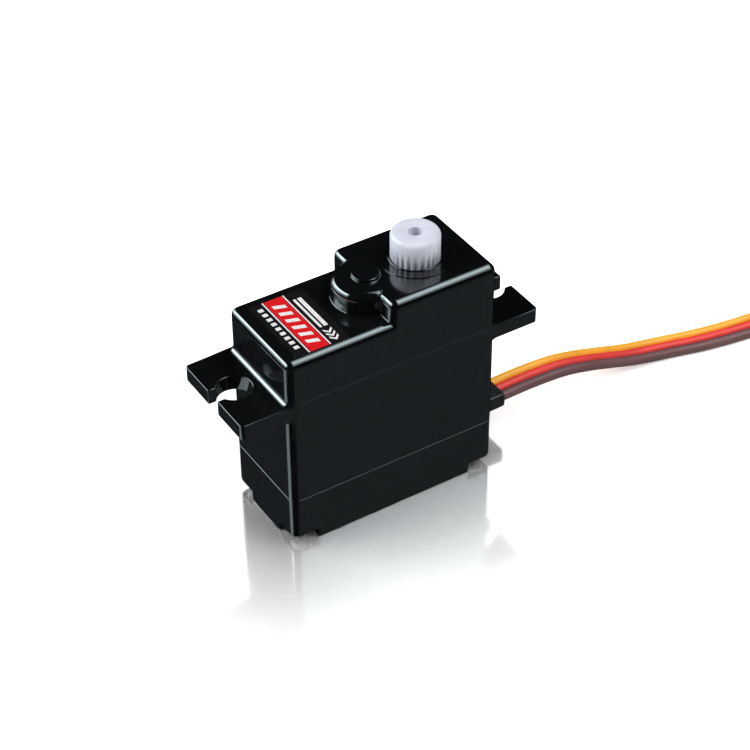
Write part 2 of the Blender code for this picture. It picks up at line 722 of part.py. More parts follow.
def make_compound_gear(name, x, wheel, pinion, wheel_span, pinion_top, bore_radius):
    """A nylon wheel with a smaller pinion on top. wheel and pinion are (teeth, angle)."""
    bottom, top = wheel_span
    gear = add_object(name, prism_mesh(gear_outline(*wheel), 0.0, top - bottom), nylon())
    low = top - bottom - OVERLAP
    unite(gear, prism_mesh(gear_outline(*pinion), low, pinion_top - bottom))
    bore = circle(bore_radius, SMALL_CIRCLE_SEGMENTS)
    cut(gear, prism_mesh(bore, -BEYOND, pinion_top - bottom + BEYOND))
    gear.location = (x, 0.0, bottom)
    return gear


def make_train():
    """Three double gears: the first and third on the middle axle, the second on the pot shaft."""
    facing_left, facing_right = math.pi, 0.0
    bore = AXLE_RADIUS + RUNNING_GAP
    make_compound_gear(
        "first_gear",
        MIDDLE_X,
        (FIRST_WHEEL_TEETH, gap_angle(FIRST_WHEEL_TEETH, facing_left)),
        (FIRST_PINION_TEETH, facing_right),
        (FIRST_LEVEL, FIRST_LEVEL + WHEEL_THICKNESS),
        SECOND_LEVEL + WHEEL_THICKNESS + PINION_REACH,
        bore,
    )
    make_compound_gear(
        "second_gear",
        OUTPUT_X,
        (SECOND_WHEEL_TEETH, gap_angle(SECOND_WHEEL_TEETH, facing_left)),
        (SECOND_PINION_TEETH, facing_left),
        (SECOND_LEVEL, SECOND_LEVEL + WHEEL_THICKNESS),
        THIRD_LEVEL + WHEEL_THICKNESS + PINION_REACH,
        bore,
    )
    make_compound_gear(
        "third_gear",
        MIDDLE_X,
        (THIRD_WHEEL_TEETH, gap_angle(THIRD_WHEEL_TEETH, facing_right)),
        (THIRD_PINION_TEETH, facing_right),
        (THIRD_LEVEL, THIRD_LEVEL + WHEEL_THICKNESS),
        THIRD_PINION_TOP,
        bore,
    )
    axle = turned_mesh(
        [(0.0, 0.0), (AXLE_RADIUS, 0.0), (AXLE_RADIUS, AXLE_TOP - AXLE_BOTTOM)],
        SMALL_CIRCLE_SEGMENTS,
    )
    add_object("middle_axle", axle, steel(), (MIDDLE_X, 0.0, AXLE_BOTTOM))


def spline_outline(tooth_radius, root_radius):
    """Pointed teeth all round, each of one tip and one root point."""
    step = math.pi / SPLINE_TEETH
    radii = (tooth_radius, root_radius)
    return [
        (radii[i % 2] * math.cos(i * step), radii[i % 2] * math.sin(i * step))
        for i in range(2 * SPLINE_TEETH)
    ]


def spline_mesh(bottom, top):
    """The toothed end, with a chamfered top edge."""
    teeth = spline_outline(SPLINE_RADIUS, SPLINE_ROOT_RADIUS)
    chamfered = spline_outline(
        SPLINE_RADIUS - SPLINE_CHAMFER_DEPTH, SPLINE_ROOT_RADIUS - SPLINE_CHAMFER_DEPTH / 3
    )
    return lofted_mesh([(teeth, bottom), (teeth, top - SPLINE_CHAMFER), (chamfered, top)])


def make_output_gear():
    """The last wheel, its hub in the roof's bore, and the spline that carries the horn."""
    base = OUTPUT_LEVEL
    wheel_height = OUTPUT_WHEEL_TOP - base
    wheel = gear_outline(OUTPUT_WHEEL_TEETH, gap_angle(OUTPUT_WHEEL_TEETH, math.pi))
    gear = add_object("output_gear", prism_mesh(wheel, 0.0, wheel_height), nylon())
    hub_top = HIGH_ROOF + COLLAR_HEIGHT - HUB_DEPTH - base
    unite(gear, prism_mesh(circle(HUB_RADIUS), wheel_height - OVERLAP, hub_top))
    unite(gear, spline_mesh(hub_top - OVERLAP, SPLINE_TOP - base))
    screw_hole = circle(HORN_SCREW_RADIUS, SMALL_CIRCLE_SEGMENTS)
    top = SPLINE_TOP - base
    cut(gear, prism_mesh(screw_hole, top - HORN_SCREW_DEPTH, top + BEYOND))
    shaft_hole = circle(AXLE_RADIUS + RUNNING_GAP, SMALL_CIRCLE_SEGMENTS)
    cut(gear, prism_mesh(shaft_hole, -BEYOND, SHAFT_SEAT_DEPTH))
    gear.location = (OUTPUT_X, 0.0, base)


# ---- motor ---------------------------------------------------------------------------------
def sector(inner, outer, start, end, steps):
    """A flat ring segment between two angles in degrees."""
    origin = (0.0, 0.0)
    return arc(origin, outer, start, end, steps) + arc(origin, inner, end, start, steps)


def armature_outline():
    """Poles with narrow slots between their shoes."""
    origin = (0.0, 0.0)
    points = []
    for pole in range(POLES):
        middle = 360 / POLES * pole
        slot = middle + 180 / POLES
        shoe = (middle - POLE_HALF_ANGLE, middle + POLE_HALF_ANGLE)
        points += arc(origin, ARMATURE_RADIUS, *shoe, 8)
        floor = (slot - SLOT_HALF_ANGLE, slot + SLOT_HALF_ANGLE)
        points += arc(origin, ARMATURE_RADIUS * SLOT_FLOOR, *floor, 1)
    return points


def make_motor():
    bore = MOTOR_SHAFT_RADIUS + RUNNING_GAP
    height = MOTOR_CAN_TOP - MOTOR_CAN_BOTTOM
    inner_top = height - MOTOR_CAN_WALL
    inner_radius = MOTOR_RADIUS - MOTOR_CAN_WALL
    boss_top = height + MOTOR_BOSS_HEIGHT
    can_profile = [
        (MOTOR_RADIUS, 0.0),
        (MOTOR_RADIUS, height - MOTOR_EDGE),
        (MOTOR_RADIUS - MOTOR_EDGE, height),
        (MOTOR_BOSS_RADIUS, height),
        (MOTOR_BOSS_RADIUS, boss_top),
        (0.0, boss_top),
    ]
    can = add_object("motor_can", turned_mesh(can_profile), steel())
    cut(can, prism_mesh(circle(inner_radius), -BEYOND, inner_top))
    shaft_bore = circle(bore, SMALL_CIRCLE_SEGMENTS)
    cut(can, prism_mesh(shaft_bore, inner_top - BEYOND, boss_top + BEYOND))
    can.location = (MOTOR_X, 0.0, MOTOR_CAN_BOTTOM)

    cap_height = MOTOR_CAP_TOP - MOTOR_CAP_BOTTOM
    cap_finish = material("endbell_plastic", (0.75, 0.74, 0.70), 0.45)
    cap_profile = [
        (0.0, 0.0),
        (MOTOR_RADIUS - MOTOR_EDGE, 0.0),
        (MOTOR_RADIUS, MOTOR_EDGE),
        (MOTOR_RADIUS, cap_height),
        (0.0, cap_height),
    ]
    cap = add_object("motor_end_cap", turned_mesh(cap_profile), cap_finish)
    slots = terminal_slots(0.0, -BEYOND, cap_height + BEYOND)
    slots.append(prism_mesh(shaft_bore, MOTOR_EDGE, cap_height + BEYOND))
    cut(cap, combined_mesh(slots))
    cap.location = (MOTOR_X, 0.0, MOTOR_CAP_BOTTOM)

    make_rotor()
    make_magnets()
    make_brushes()


def terminal_slots(x, bottom, top):
    """Openings for the motor's two terminals, with a little room round each."""
    half_x, half_y = (size + TERMINAL_ROOM for size in TERMINAL_HALF_SIZE)
    return [
        box_mesh((x - half_x, y - half_y, bottom), (x + half_x, y + half_y, top))
        for y in (-TERMINAL_Y, TERMINAL_Y)
    ]


def make_rotor():
    shaft_bottom = MOTOR_CAP_BOTTOM + MOTOR_EDGE + SMALL_GAP
    shaft_length = FIRST_LEVEL + WHEEL_THICKNESS + PINION_OVERHANG - shaft_bottom
    shaft_profile = [
        (0.0, 0.0),
        (MOTOR_SHAFT_RADIUS, 0.0),
        (MOTOR_SHAFT_RADIUS, shaft_length),
        (0.0, shaft_length),
    ]
    shaft = turned_mesh(shaft_profile, SMALL_CIRCLE_SEGMENTS)
    add_object("motor_shaft", shaft, steel(), (MOTOR_X, 0.0, shaft_bottom))

    copper = material("copper_winding", (0.72, 0.35, 0.18), 0.35, 1.0)
    commutator_ring = circle(COMMUTATOR_RADIUS, SMALL_CIRCLE_SEGMENTS)
    pinion_height = WHEEL_THICKNESS + 2 * PINION_OVERHANG
    pinion_bottom = FIRST_LEVEL - PINION_OVERHANG
    pieces = (
        ("motor_armature", armature_outline(), ARMATURE_BOTTOM, ARMATURE_HEIGHT, copper),
        ("motor_commutator", commutator_ring, COMMUTATOR_BOTTOM, COMMUTATOR_HEIGHT, brass()),
        ("motor_pinion", gear_outline(PINION_TEETH, 0.0), pinion_bottom, pinion_height, brass()),
    )
    bore = circle(MOTOR_SHAFT_RADIUS + TIGHT_GAP, SMALL_CIRCLE_SEGMENTS)
    for name, outline, bottom, height, finish in pieces:
        piece = add_object(name, prism_mesh(outline, 0.0, height), finish)
        cut(piece, prism_mesh(bore, -BEYOND, height + BEYOND))
        piece.location = (MOTOR_X, 0.0, bottom)


def make_magnets():
    """Two curved magnets against the can's wall, on the long axis of the case."""
    ferrite = material("ferrite", (0.05, 0.05, 0.055), 0.7)
    for number, middle in ((1, 0), (2, 180)):
        ends = (middle - MAGNET_HALF_ANGLE, middle + MAGNET_HALF_ANGLE)
        outline = sector(MAGNET_INNER_RADIUS, MAGNET_OUTER_RADIUS, *ends, 10)
        magnet = prism_mesh(outline, 0.0, MAGNET_HEIGHT)
        add_object(f"motor_magnet_{number}", magnet, ferrite, (MOTOR_X, 0.0, MAGNET_BOTTOM))


def make_brushes():
    """Two sprung strips that press on the commutator, and the tabs that feed them."""
    copper = material("brush_alloy", (0.80, 0.52, 0.30), 0.35, 1.0)
    tin = material("tinned_terminal", (0.75, 0.74, 0.70), 0.3, 1.0)
    back = BRUSH_FACE + BRUSH_THICKNESS
    arm_low, arm_high = BRUSH_ARM_LEVELS
    tab_x, tab_y = TERMINAL_HALF_SIZE
    for number, side in ((1, -1), (2, 1)):
        half = BRUSH_HALF_WIDTH
        strip = box_mesh((-half, BRUSH_FACE, 0.0), (half, back, BRUSH_HEIGHT))
        arm = box_mesh((-half, back - OVERLAP, arm_low), (half, TERMINAL_Y, arm_high))
        brush = add_object(f"motor_brush_{number}", strip, copper)
        unite(brush, arm)
        brush.rotation_euler.z = 0.0 if side > 0 else math.pi
        brush.location = (MOTOR_X, 0.0, BRUSH_BOTTOM)

        tab = box_mesh((-tab_x, -tab_y, 0.0), (tab_x, tab_y, TERMINAL_LENGTH))
        place = (MOTOR_X, side * TERMINAL_Y, TERMINAL_BOTTOM)
        add_object(f"motor_terminal_{number}", tab, tin, place)


# ---- potentiometer -------------------------------------------------------------------------
def make_potentiometer():
    height = POT_TOP - POT_BOTTOM
    bushing_top = DECK_TOP + SPIGOT_HEIGHT - SMALL_GAP - POT_BOTTOM
    shell = material("pot_shell", (0.10, 0.16, 0.34), 0.4)
    profile = [
        (POT_RADIUS, 0.0),
        (POT_RADIUS, height),
        (POT_BUSHING_RADIUS, height),
        (POT_BUSHING_RADIUS, bushing_top),
        (0.0, bushing_top),
    ]
    case = add_object("pot_case", turned_mesh(profile), shell)
    cut(case, prism_mesh(circle(POT_RADIUS - POT_WALL), -BEYOND, height - POT_WALL))
    bore = circle(AXLE_RADIUS + RUNNING_GAP, SMALL_CIRCLE_SEGMENTS)
    cut(case, prism_mesh(bore, height - POT_WALL - BEYOND, bushing_top + BEYOND))
    case.location = (OUTPUT_X, 0.0, POT_BOTTOM)

    track_finish = material("phenolic", (0.30, 0.16, 0.07), 0.5)
    track_radius = POT_RADIUS - POT_WALL - SMALL_GAP
    track = prism_mesh(circle(track_radius), 0.0, POT_TRACK_THICKNESS)
    add_object("pot_track", track, track_finish, (OUTPUT_X, 0.0, POT_BOTTOM + SMALL_GAP))

    wiper = prism_mesh(circle(WIPER_RADIUS), 0.0, WIPER_THICKNESS)
    wiper = add_object("pot_wiper", wiper, brass())
    tight_bore = circle(AXLE_RADIUS + TIGHT_GAP, SMALL_CIRCLE_SEGMENTS)
    cut(wiper, prism_mesh(tight_bore, -BEYOND, BEYOND))
    notch_x, notch_y = WIPER_NOTCH
    notch_end = WIPER_RADIUS + BEYOND
    cut(wiper, box_mesh((-notch_end, -notch_y, -BEYOND), (-notch_x, notch_y, BEYOND)))
    wiper.location = (OUTPUT_X, 0.0, POT_SHAFT_BOTTOM + SMALL_GAP)

    shaft_length = OUTPUT_LEVEL + SHAFT_SEAT_DEPTH - SMALL_GAP - POT_SHAFT_BOTTOM
    shaft_profile = [
        (0.0, 0.0),
        (AXLE_RADIUS, 0.0),
        (AXLE_RADIUS, shaft_length),
        (0.0, shaft_length),
    ]
    shaft = turned_mesh(shaft_profile, SMALL_CIRCLE_SEGMENTS)
    add_object("pot_shaft", shaft, steel(), (OUTPUT_X, 0.0, POT_SHAFT_BOTTOM))

    sleeve = material("pot_lead_sleeve", (0.55, 0.56, 0.58), 0.4)
    lead_bottom = BOARD_TOP + SMALL_GAP
    lead_height = POT_BOTTOM - SMALL_GAP - lead_bottom
    for number, lane in enumerate((-1, 0, 1), start=1):
        lead = prism_mesh(circle(POT_LEAD_RADIUS, SMALL_CIRCLE_SEGMENTS), 0.0, lead_height)
        place = (OUTPUT_X, lane * POT_LEAD_PITCH, lead_bottom)
        add_object(f"pot_lead_{number}", lead, sleeve, place)


# ---- board ---------------------------------------------------------------------------------
def make_board():
    green = material("board_laminate", (0.02, 0.14, 0.06), 0.35)
    half_x, half_y = BOARD_LENGTH / 2, BOARD_WIDTH / 2
    bm = box_mesh((-half_x, -half_y, BOARD_BOTTOM), (half_x, half_y, BOARD_TOP))
    board = add_object("circuit_board", bm, green)
    slots = terminal_slots(MOTOR_X, BOARD_BOTTOM - BEYOND, BOARD_TOP + BEYOND)
    cut(board, combined_mesh(slots))

    finishes = {
        "chip_epoxy": material("chip_epoxy", (0.025, 0.025, 0.028), 0.5),
        "ceramic": material("ceramic_part", (0.62, 0.52, 0.38), 0.45),
    }
    for name, (x, y), (length, width, height), finish in BOARD_PARTS:
        low = (-length / 2 * MM, -width / 2 * MM, -height * MM)
        high = (length / 2 * MM, width / 2 * MM, 0.0)
        place = (x * MM, y * MM, BOARD_BOTTOM - CHIP_GAP)
        add_object(name, box_mesh(low, high), finishes[finish], place)


# ---- lead ----------------------------------------------------------------------------------
def make_strain_relief():
    """A rubber block that sits in the cover's window, with a flange inside the wall."""
    half_y, half_z = RELIEF_WIDTH / 2, RELIEF_HEIGHT / 2
    bm = box_mesh((RELIEF_NECK_X, -half_y, -half_z), (RELIEF_END_X, half_y, half_z))
    for vert in bm.verts:
        if vert.co.x > RELIEF_NECK_X + BEYOND:
            vert.co.y *= RELIEF_TAPER
            vert.co.z *= RELIEF_TAPER

    def is_lengthwise_or_end(edge):
        start, end = (vert.co for vert in edge.verts)
        along = abs(end.x - start.x) > BEYOND
        at_end = min(start.x, end.x) > RELIEF_NECK_X + BEYOND
        return along or at_end

    bevel_edges(bm, is_lengthwise_or_end, RELIEF_EDGE, 3)
    relief = add_object("strain_relief", bm, black_rubber())
    reach_y, reach_z = RELIEF_FLANGE
    flange = box_mesh(
        (RELIEF_FLANGE_X, -half_y - reach_y, -half_z - reach_z),
        (RELIEF_NECK_X + OVERLAP, half_y + reach_y, half_z - OVERLAP),
    )
    unite(relief, flange)
    relief.location = (0.0, 0.0, RELIEF_Z)


def smooth_route(points, steps):
    """Points on a smooth curve through the route's own points, steps to each stretch."""
    ends = [points[0] * 2 - points[1], *points, points[-1] * 2 - points[-2]]
    curve = []
    for a, b, c, d in zip(ends, ends[1:], ends[2:], ends[3:]):
        for step in range(steps):
            t = step / steps
            curve.append(
                0.5
                * (
                    2 * b
                    + (c - a) * t
                    + (2 * a - 5 * b + 4 * c - d) * t**2
                    + (3 * b - a - 3 * c + d) * t**3
                )
            )
    curve.append(points[-1])
    return curve


def beside_route(centre, side):
    """The route of a wire beside the middle one: side is -1, 0 or 1."""
    remaining = [0.0]
    for a, b in zip(reversed(centre[:-1]), reversed(centre[1:])):
        remaining.append(remaining[-1] + (b - a).length)
    remaining.reverse()
    wire = []
    for i, point in enumerate(centre):
        ahead = centre[min(i + 1, len(centre) - 1)] - centre[max(i - 1, 0)]
        across = Vector((-ahead.y, ahead.x, 0.0)).normalized()
        near_plug = max(0.0, 1.0 - remaining[i] / FAN_LENGTH)
        fan = near_plug * near_plug * (3 - 2 * near_plug)
        offset = WIRE_PITCH + (PLUG_PITCH - WIRE_PITCH) * fan
        wire.append(point + across * side * offset)
    return wire


def make_wire(name, side, colour):
    centre = smooth_route([Vector(p) * MM for p in LEAD_ROUTE], 2)
    route = beside_route(centre, side)
    curve = bpy.data.curves.new(name, "CURVE")
    curve.dimensions = "3D"
    curve.bevel_depth = WIRE_DIAMETER / 2
    curve.bevel_resolution = 2
    curve.use_fill_caps = True
    spline = curve.splines.new("POLY")
    spline.points.add(len(route) - 1)
    for knot, point in zip(spline.points, route):
        knot.co = (*point, 1.0)
    curve.materials.append(material(name, colour, 0.4))
    bpy.context.collection.objects.link(bpy.data.objects.new(name, curve))


def make_lead():
    make_wire("signal_wire", 1, (0.90, 0.45, 0.04))
    make_wire("power_wire", 0, (0.75, 0.04, 0.03))
    make_wire("ground_wire", -1, (0.13, 0.05, 0.035))


def make_plug():
    """A three-way socket housing on 2.54 mm pitch, with a contact in each cavity."""
    half_y = PLUG_WIDTH / 2
    bm = box_mesh((0.0, -half_y, 0.0), (PLUG_LENGTH, half_y, PLUG_HEIGHT))

    def is_lengthwise(edge):
        start, end = (vert.co for vert in edge.verts)
        return abs(end.x - start.x) > BEYOND

    bevel_edges(bm, is_lengthwise, PLUG_EDGE, 2)
    finish = material("plug_plastic", (0.018, 0.018, 0.02), 0.35)
    housing = add_object("plug_housing", bm, finish)
    middle_z = PLUG_HEIGHT / 2
    lanes = [side * PLUG_PITCH for side in (-1, 0, 1)]
    cavities = [
        box_mesh(
            (PLUG_LENGTH - CAVITY_DEPTH, y - CAVITY_HALF_SIZE, middle_z - CAVITY_HALF_SIZE),
            (PLUG_LENGTH + BEYOND, y + CAVITY_HALF_SIZE, middle_z + CAVITY_HALF_SIZE),
        )
        for y in lanes
    ]
    cut(housing, combined_mesh(cavities))
    window_end, window_start = (PLUG_LENGTH - distance for distance in WINDOW_SPAN)
    windows = [
        box_mesh(
            (window_start, y - WINDOW_HALF_WIDTH, middle_z),
            (window_end, y + WINDOW_HALF_WIDTH, PLUG_HEIGHT + BEYOND),
        )
        for y in lanes
    ]
    cut(housing, combined_mesh(windows))
    housing.location = (PLUG_REAR_X, PLUG_Y, 0.0)
    make_contacts(lanes)


def make_contacts(lanes):
    """A sprung sleeve in each cavity, which a header's pin slides into."""
    half, hole = CONTACT_HALF_SIZE, PIN_HOLE_HALF_SIZE
    pin_hole = box_mesh(
        (CONTACT_LENGTH - PIN_HOLE_DEPTH, -hole, -hole),
        (CONTACT_LENGTH + BEYOND, hole, hole),
    )
    shape = box_mesh((0.0, -half, -half), (CONTACT_LENGTH, half, half))
    gold = material("gold_contact", (0.85, 0.65, 0.25), 0.25, 1.0)
    first = add_object("plug_contact_1", shape, gold)
    cut(first, pin_hole)
    contact_x = PLUG_REAR_X + PLUG_LENGTH - CAVITY_DEPTH + FACE_GAP
    for number, y in enumerate(lanes, start=1):
        contact = first
        if number > 1:
            contact = bpy.data.objects.new(f"plug_contact_{number}", first.data)
            bpy.context.collection.objects.link(contact)
        contact.location = (contact_x, PLUG_Y + y, PLUG_HEIGHT / 2)


def main():
    clear_scene()
    make_top_case()
    make_middle_case()
    make_bottom_cover()
    make_case_screws()
    make_label()
    make_train()
    make_output_gear()
    make_motor()
    make_potentiometer()
    make_board()
    make_strain_relief()
    make_lead()
    make_plug()


main()
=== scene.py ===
"""Looks of the mini servo motor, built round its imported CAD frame.

Everything is in metres in the CAD frame: origin under the middle of the case, +Z up, +X towards
the output shaft and the lead. The shells, the spline, the label, the strain relief, the wires and
the plug are finer pieces that stand for their CAD nodes. The inner parts are the CAD nodes
themselves with finished materials.
"""
import json
import math

import bmesh
import bpy
from mathutils import Matrix, Vector


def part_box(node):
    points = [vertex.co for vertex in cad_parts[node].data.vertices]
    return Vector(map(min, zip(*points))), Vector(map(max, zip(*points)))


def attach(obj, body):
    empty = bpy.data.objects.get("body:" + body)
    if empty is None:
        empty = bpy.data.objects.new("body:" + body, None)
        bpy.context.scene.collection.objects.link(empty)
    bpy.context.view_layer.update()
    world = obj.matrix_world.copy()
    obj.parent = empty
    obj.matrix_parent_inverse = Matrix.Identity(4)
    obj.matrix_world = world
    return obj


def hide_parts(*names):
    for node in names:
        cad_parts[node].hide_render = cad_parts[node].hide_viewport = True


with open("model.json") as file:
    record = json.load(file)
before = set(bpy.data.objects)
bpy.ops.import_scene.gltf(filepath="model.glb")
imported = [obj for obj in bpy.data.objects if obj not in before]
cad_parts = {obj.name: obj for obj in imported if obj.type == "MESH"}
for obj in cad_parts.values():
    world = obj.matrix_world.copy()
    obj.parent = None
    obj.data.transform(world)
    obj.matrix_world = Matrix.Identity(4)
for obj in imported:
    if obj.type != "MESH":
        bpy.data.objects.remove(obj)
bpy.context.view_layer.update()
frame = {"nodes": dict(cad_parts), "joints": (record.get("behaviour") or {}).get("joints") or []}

MM = 0.001

# ---- sizes read from the frame --------------------------------------------------------------
COVER_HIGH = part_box("bottom_cover")[1]
BODY_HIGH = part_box("middle_case")[1]
CAP_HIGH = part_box("top_case")[1]
GEAR_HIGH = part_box("output_gear")[1]
LABEL_LOW, LABEL_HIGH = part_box("label")
RELIEF_LOW, RELIEF_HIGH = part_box("strain_relief")
PLUG_LOW, PLUG_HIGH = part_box("plug_housing")
AXLE_LOW, AXLE_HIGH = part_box("middle_axle")
AXES = {joint["child"]: joint["pos_m"] for joint in frame["joints"]}

# ---- case -----------------------------------------------------------------------------------
HALF_WIDTH = CAP_HIGH.y
COVER_INSET = 0.02 * MM
HALF_LENGTH = COVER_HIGH.x + COVER_INSET
CASE_WALL = 1.0 * MM
CASE_ROUNDING = 1.0 * MM
SPIGOT_HEIGHT = 0.6 * MM
SPIGOT_MARGIN = 0.15 * MM
MOTOR_HOLE_RADIUS = 2.2 * MM
POT_HOLE_RADIUS = 1.35 * MM
AXLE_HOLE_RADIUS = 0.81 * MM
AXLE_END_GAP = 0.15 * MM
DECK_TOP = BODY_HIGH.z - SPIGOT_HEIGHT
HAIRLINE = 0.03 * MM  # what shows of a closed seam
EDGE = 0.12 * MM  # rounding of the moulded parts' small edges
PARTING_EDGE = 0.1 * MM  # the cover's, finer than the rest of the case's
PAD_HEIGHT = 0.4 * MM
PAD_RADIUS = 1.65 * MM
HIGH_ROOF = CAP_HIGH.z - PAD_HEIGHT
LOW_ROOF = LABEL_LOW.z - 0.02 * MM
STEP_X = -0.3 * MM
BOSS_RADIUS = 4.1 * MM
BOSS_FILLET = 1.1 * MM
COLLAR_RADIUS = 4.4 * MM
COLLAR_HEIGHT = 0.1 * MM
ROOF_BORE_RADIUS = 3.06 * MM
LIP_RADIUS = 3.24 * MM  # the low round lip at the bore's rim
LIP_HEIGHT = 0.1 * MM
SKIRT_REACH = CAP_HIGH.x - HALF_LENGTH
SKIRT_LIP = 0.1 * MM
SKIRT_HEIGHT = 0.42 * MM
POST_SIZE = 1.9 * MM
COVER_FLOOR = 2.3 * MM
RECESS_HEIGHT = 1.3 * MM
RECESS_LENGTH = 3.4 * MM
EAR_END = BODY_HIGH.x
EAR_HALF_WIDTH = 6.525 * MM
EAR_THICKNESS = 2.0 * MM
SLOT_X = 17.2 * MM
SLOT_RADIUS = 2.1 * MM
SLOT_HALF_MOUTH = 1.05 * MM
SCREW_X = 12.3 * MM
SCREW_Y = 4.95 * MM
SCREW_HOLE_RADIUS = 0.7 * MM
SCREW_HOLE_TOP = 24.6 * MM
SCREW_SEAT_RADIUS = 1.3 * MM
SCREW_SEAT_TOP = 1.8 * MM
BEYOND = 1.0 * MM  # how far a cutter reaches past what it cuts

# ---- output spline ---------------------------------------------------------------------------
SPLINE_TEETH = 25
POINTS_PER_TOOTH = 8
SPLINE_RADIUS = 2.925 * MM
SPLINE_ROOT = 2.66 * MM
SPLINE_CROWN = 0.55 * MM
HUB_RADIUS = 3.0 * MM
HUB_DEPTH = 0.6 * MM
HORN_HOLE_RADIUS = 0.8 * MM
HORN_HOLE_DEPTH = 4.6 * MM
OVERLAP = 0.05 * MM

# ---- label ------------------------------------------------------------------------------------
LABEL_ROUNDING = 0.3 * MM
LABEL_MARGIN = 0.05 * MM
INK_HEIGHT = 0.008 * MM
BAND_LEFT = -10.4 * MM
BAND_RIGHT = -8.0 * MM
LINE_WIDTH = 0.16 * MM
SQUARE_ROWS = 9
SQUARE_PITCH = 0.98 * MM
SQUARE_SIZE = (0.62 * MM, 0.55 * MM)
SQUARE_X = 0.95 * MM  # from the band's left side
FIRST_SQUARE_Y = 1.15 * MM  # from the band's end
LONG_LINES = ((0.85 * MM, 0.3 * MM), (1.5 * MM, 0.5 * MM))  # from the band's right side, width
LONG_LINE_Y = 0.9 * MM
LONG_LINE_LENGTH = 6.0 * MM
CHEVRON_ROWS = 3
CHEVRON_PITCH = 0.72 * MM
CHEVRON_SIZE = (0.55 * MM, 0.36 * MM)
CHEVRON_X = 1.2 * MM  # from the band's right side
FIRST_CHEVRON_Y = 2.95 * MM  # from the label's centre
BAR_ROWS = 6
BAR_PITCH = 1.45 * MM
BAR_SIZE = (1.45 * MM, 0.62 * MM)
BAR_SLANT = 0.5 * MM
FIRST_BAR_Y = 3.6 * MM  # from the label's centre
RED_INK = (0.62, 0.012, 0.016)
WHITE_INK = (0.74, 0.74, 0.75)

# ---- strain relief and plug -------------------------------------------------------------------
RELIEF_Z = 4.55 * MM
RELIEF_WIDTH = 4.7 * MM
RELIEF_HEIGHT = 2.1 * MM
RELIEF_NECK_X = 12.7 * MM
RELIEF_FLANGE = (0.6 * MM, 0.5 * MM)
RELIEF_TAPER = 0.94
RELIEF_EDGE = 0.28 * MM
RELIEF_CLEARANCE = 0.1 * MM
SOCKET_DEPTH = 0.7 * MM
SOCKET_ROOM = 0.04 * MM
PLUG_SOCKET_DEPTH = 1.0 * MM
PLUG_Y = (PLUG_LOW.y + PLUG_HIGH.y) / 2
PLUG_EDGE = 0.25 * MM
CAVITY_HALF_SIZE = 0.65 * MM
CAVITY_DEPTH = 8.0 * MM
WINDOW_SPAN = (5.2 * MM, 7.2 * MM)
WINDOW_HALF_WIDTH = 0.45 * MM

# ---- lead -----------------------------------------------------------------------------------
WIRE_DIAMETER = 1.3 * MM
WIRE_PITCH = 1.33 * MM
PLUG_PITCH = 2.54 * MM
FAN_LENGTH = 7.0 * MM
# The middle wire's route, as in the CAD, in metres.
LEAD_ROUTE = [
    (0.0193, 0.0, 0.00455),
    (0.0222, 0.0, 0.0046),
    (0.0255, 0.0, 0.00452),
    (0.029, 0.0, 0.0042),
    (0.0325, 0.0, 0.0034),
    (0.036, -0.00005, 0.00238),
    (0.0393, -0.0002, 0.00145),
    (0.0425, -0.00045, 0.00087),
    (0.046, -0.0011, 0.00067),
    (0.05, -0.00215, 0.00067),
    (0.055, -0.00305, 0.00067),
    (0.061, -0.0037, 0.00067),
    (0.068, -0.0042, 0.00067),
    (0.076, -0.0045, 0.00067),
    (0.085, -0.0046, 0.00067),
    (0.093, -0.0046, 0.00067),
    (0.0955, -0.0046, 0.00067),
    (0.09734, -0.00384, 0.00067),
    (0.0981, -0.002, 0.00067),
    (0.09734, -0.00016, 0.00067),
    (0.0955, 0.0006, 0.00067),
    (0.093, 0.0006, 0.00067),
    (0.087, 0.0006, 0.00067),
    (0.079, 0.0006, 0.00067),
    (0.0735, 0.0006, 0.00067),
    (0.071, 0.0006, 0.00067),
    (0.06916, 0.00136, 0.00067),
    (0.0684, 0.0032, 0.00067),
    (0.06916, 0.00504, 0.00067),
    (0.071, 0.0058, 0.00067),
    (0.0735, 0.00592, 0.00067),
    (0.0755, 0.00615, 0.00067),
    (0.0795, 0.00655, 0.00075),
    (0.0825, 0.0067, 0.0012),
    (0.0852, 0.0067, 0.0013),
]
WIRES = {"signal_wire": 1, "power_wire": 0, "ground_wire": -1}

# ---- camera and light -----------------------------------------------------------------------
CAMERA_AZIMUTH = -32.08
CAMERA_ELEVATION = 39.11
CAMERA_ROLL = -0.47
CAMERA_DISTANCE = 0.25367
CAMERA_TARGET = (0.00138, -0.00010, 0.01480)
CAMERA_LENS = 103.6  # millimetres, on a sensor 36 mm wide
COOL = (0.80, 0.95, 1.0)
MIRROR_SHARE = 0.85  # of the floor, next to the body
MIRROR_REACH = 60 * MM


# ---- small helpers --------------------------------------------------------------------------
def add_object(name, bm, finish=None):
    bmesh.ops.recalc_face_normals(bm, faces=bm.faces)
    mesh = bpy.data.meshes.new(name)
    bm.to_mesh(mesh)
    bm.free()
    if finish:
        mesh.materials.append(finish)
    mesh.shade_smooth()
    obj = bpy.data.objects.new(name, mesh)
    bpy.context.scene.collection.objects.link(obj)
    return obj


def box_mesh(low, high):
    bm = bmesh.new()
    low, high = Vector(low), Vector(high)
    place = Matrix.Translation((low + high) / 2) @ Matrix.Diagonal((*(high - low), 1.0))
    bmesh.ops.create_cube(bm, size=1.0, matrix=place)
    return bm


def arc(centre, radius, start, end, steps):
    angles = [math.radians(start + (end - start) * i / steps) for i in range(steps + 1)]
    return [(centre[0] + radius * math.cos(a), centre[1] + radius * math.sin(a)) for a in angles]


def circle(radius, segments, centre=(0.0, 0.0)):
    return arc(centre, radius, 0, 360, segments)[:-1]


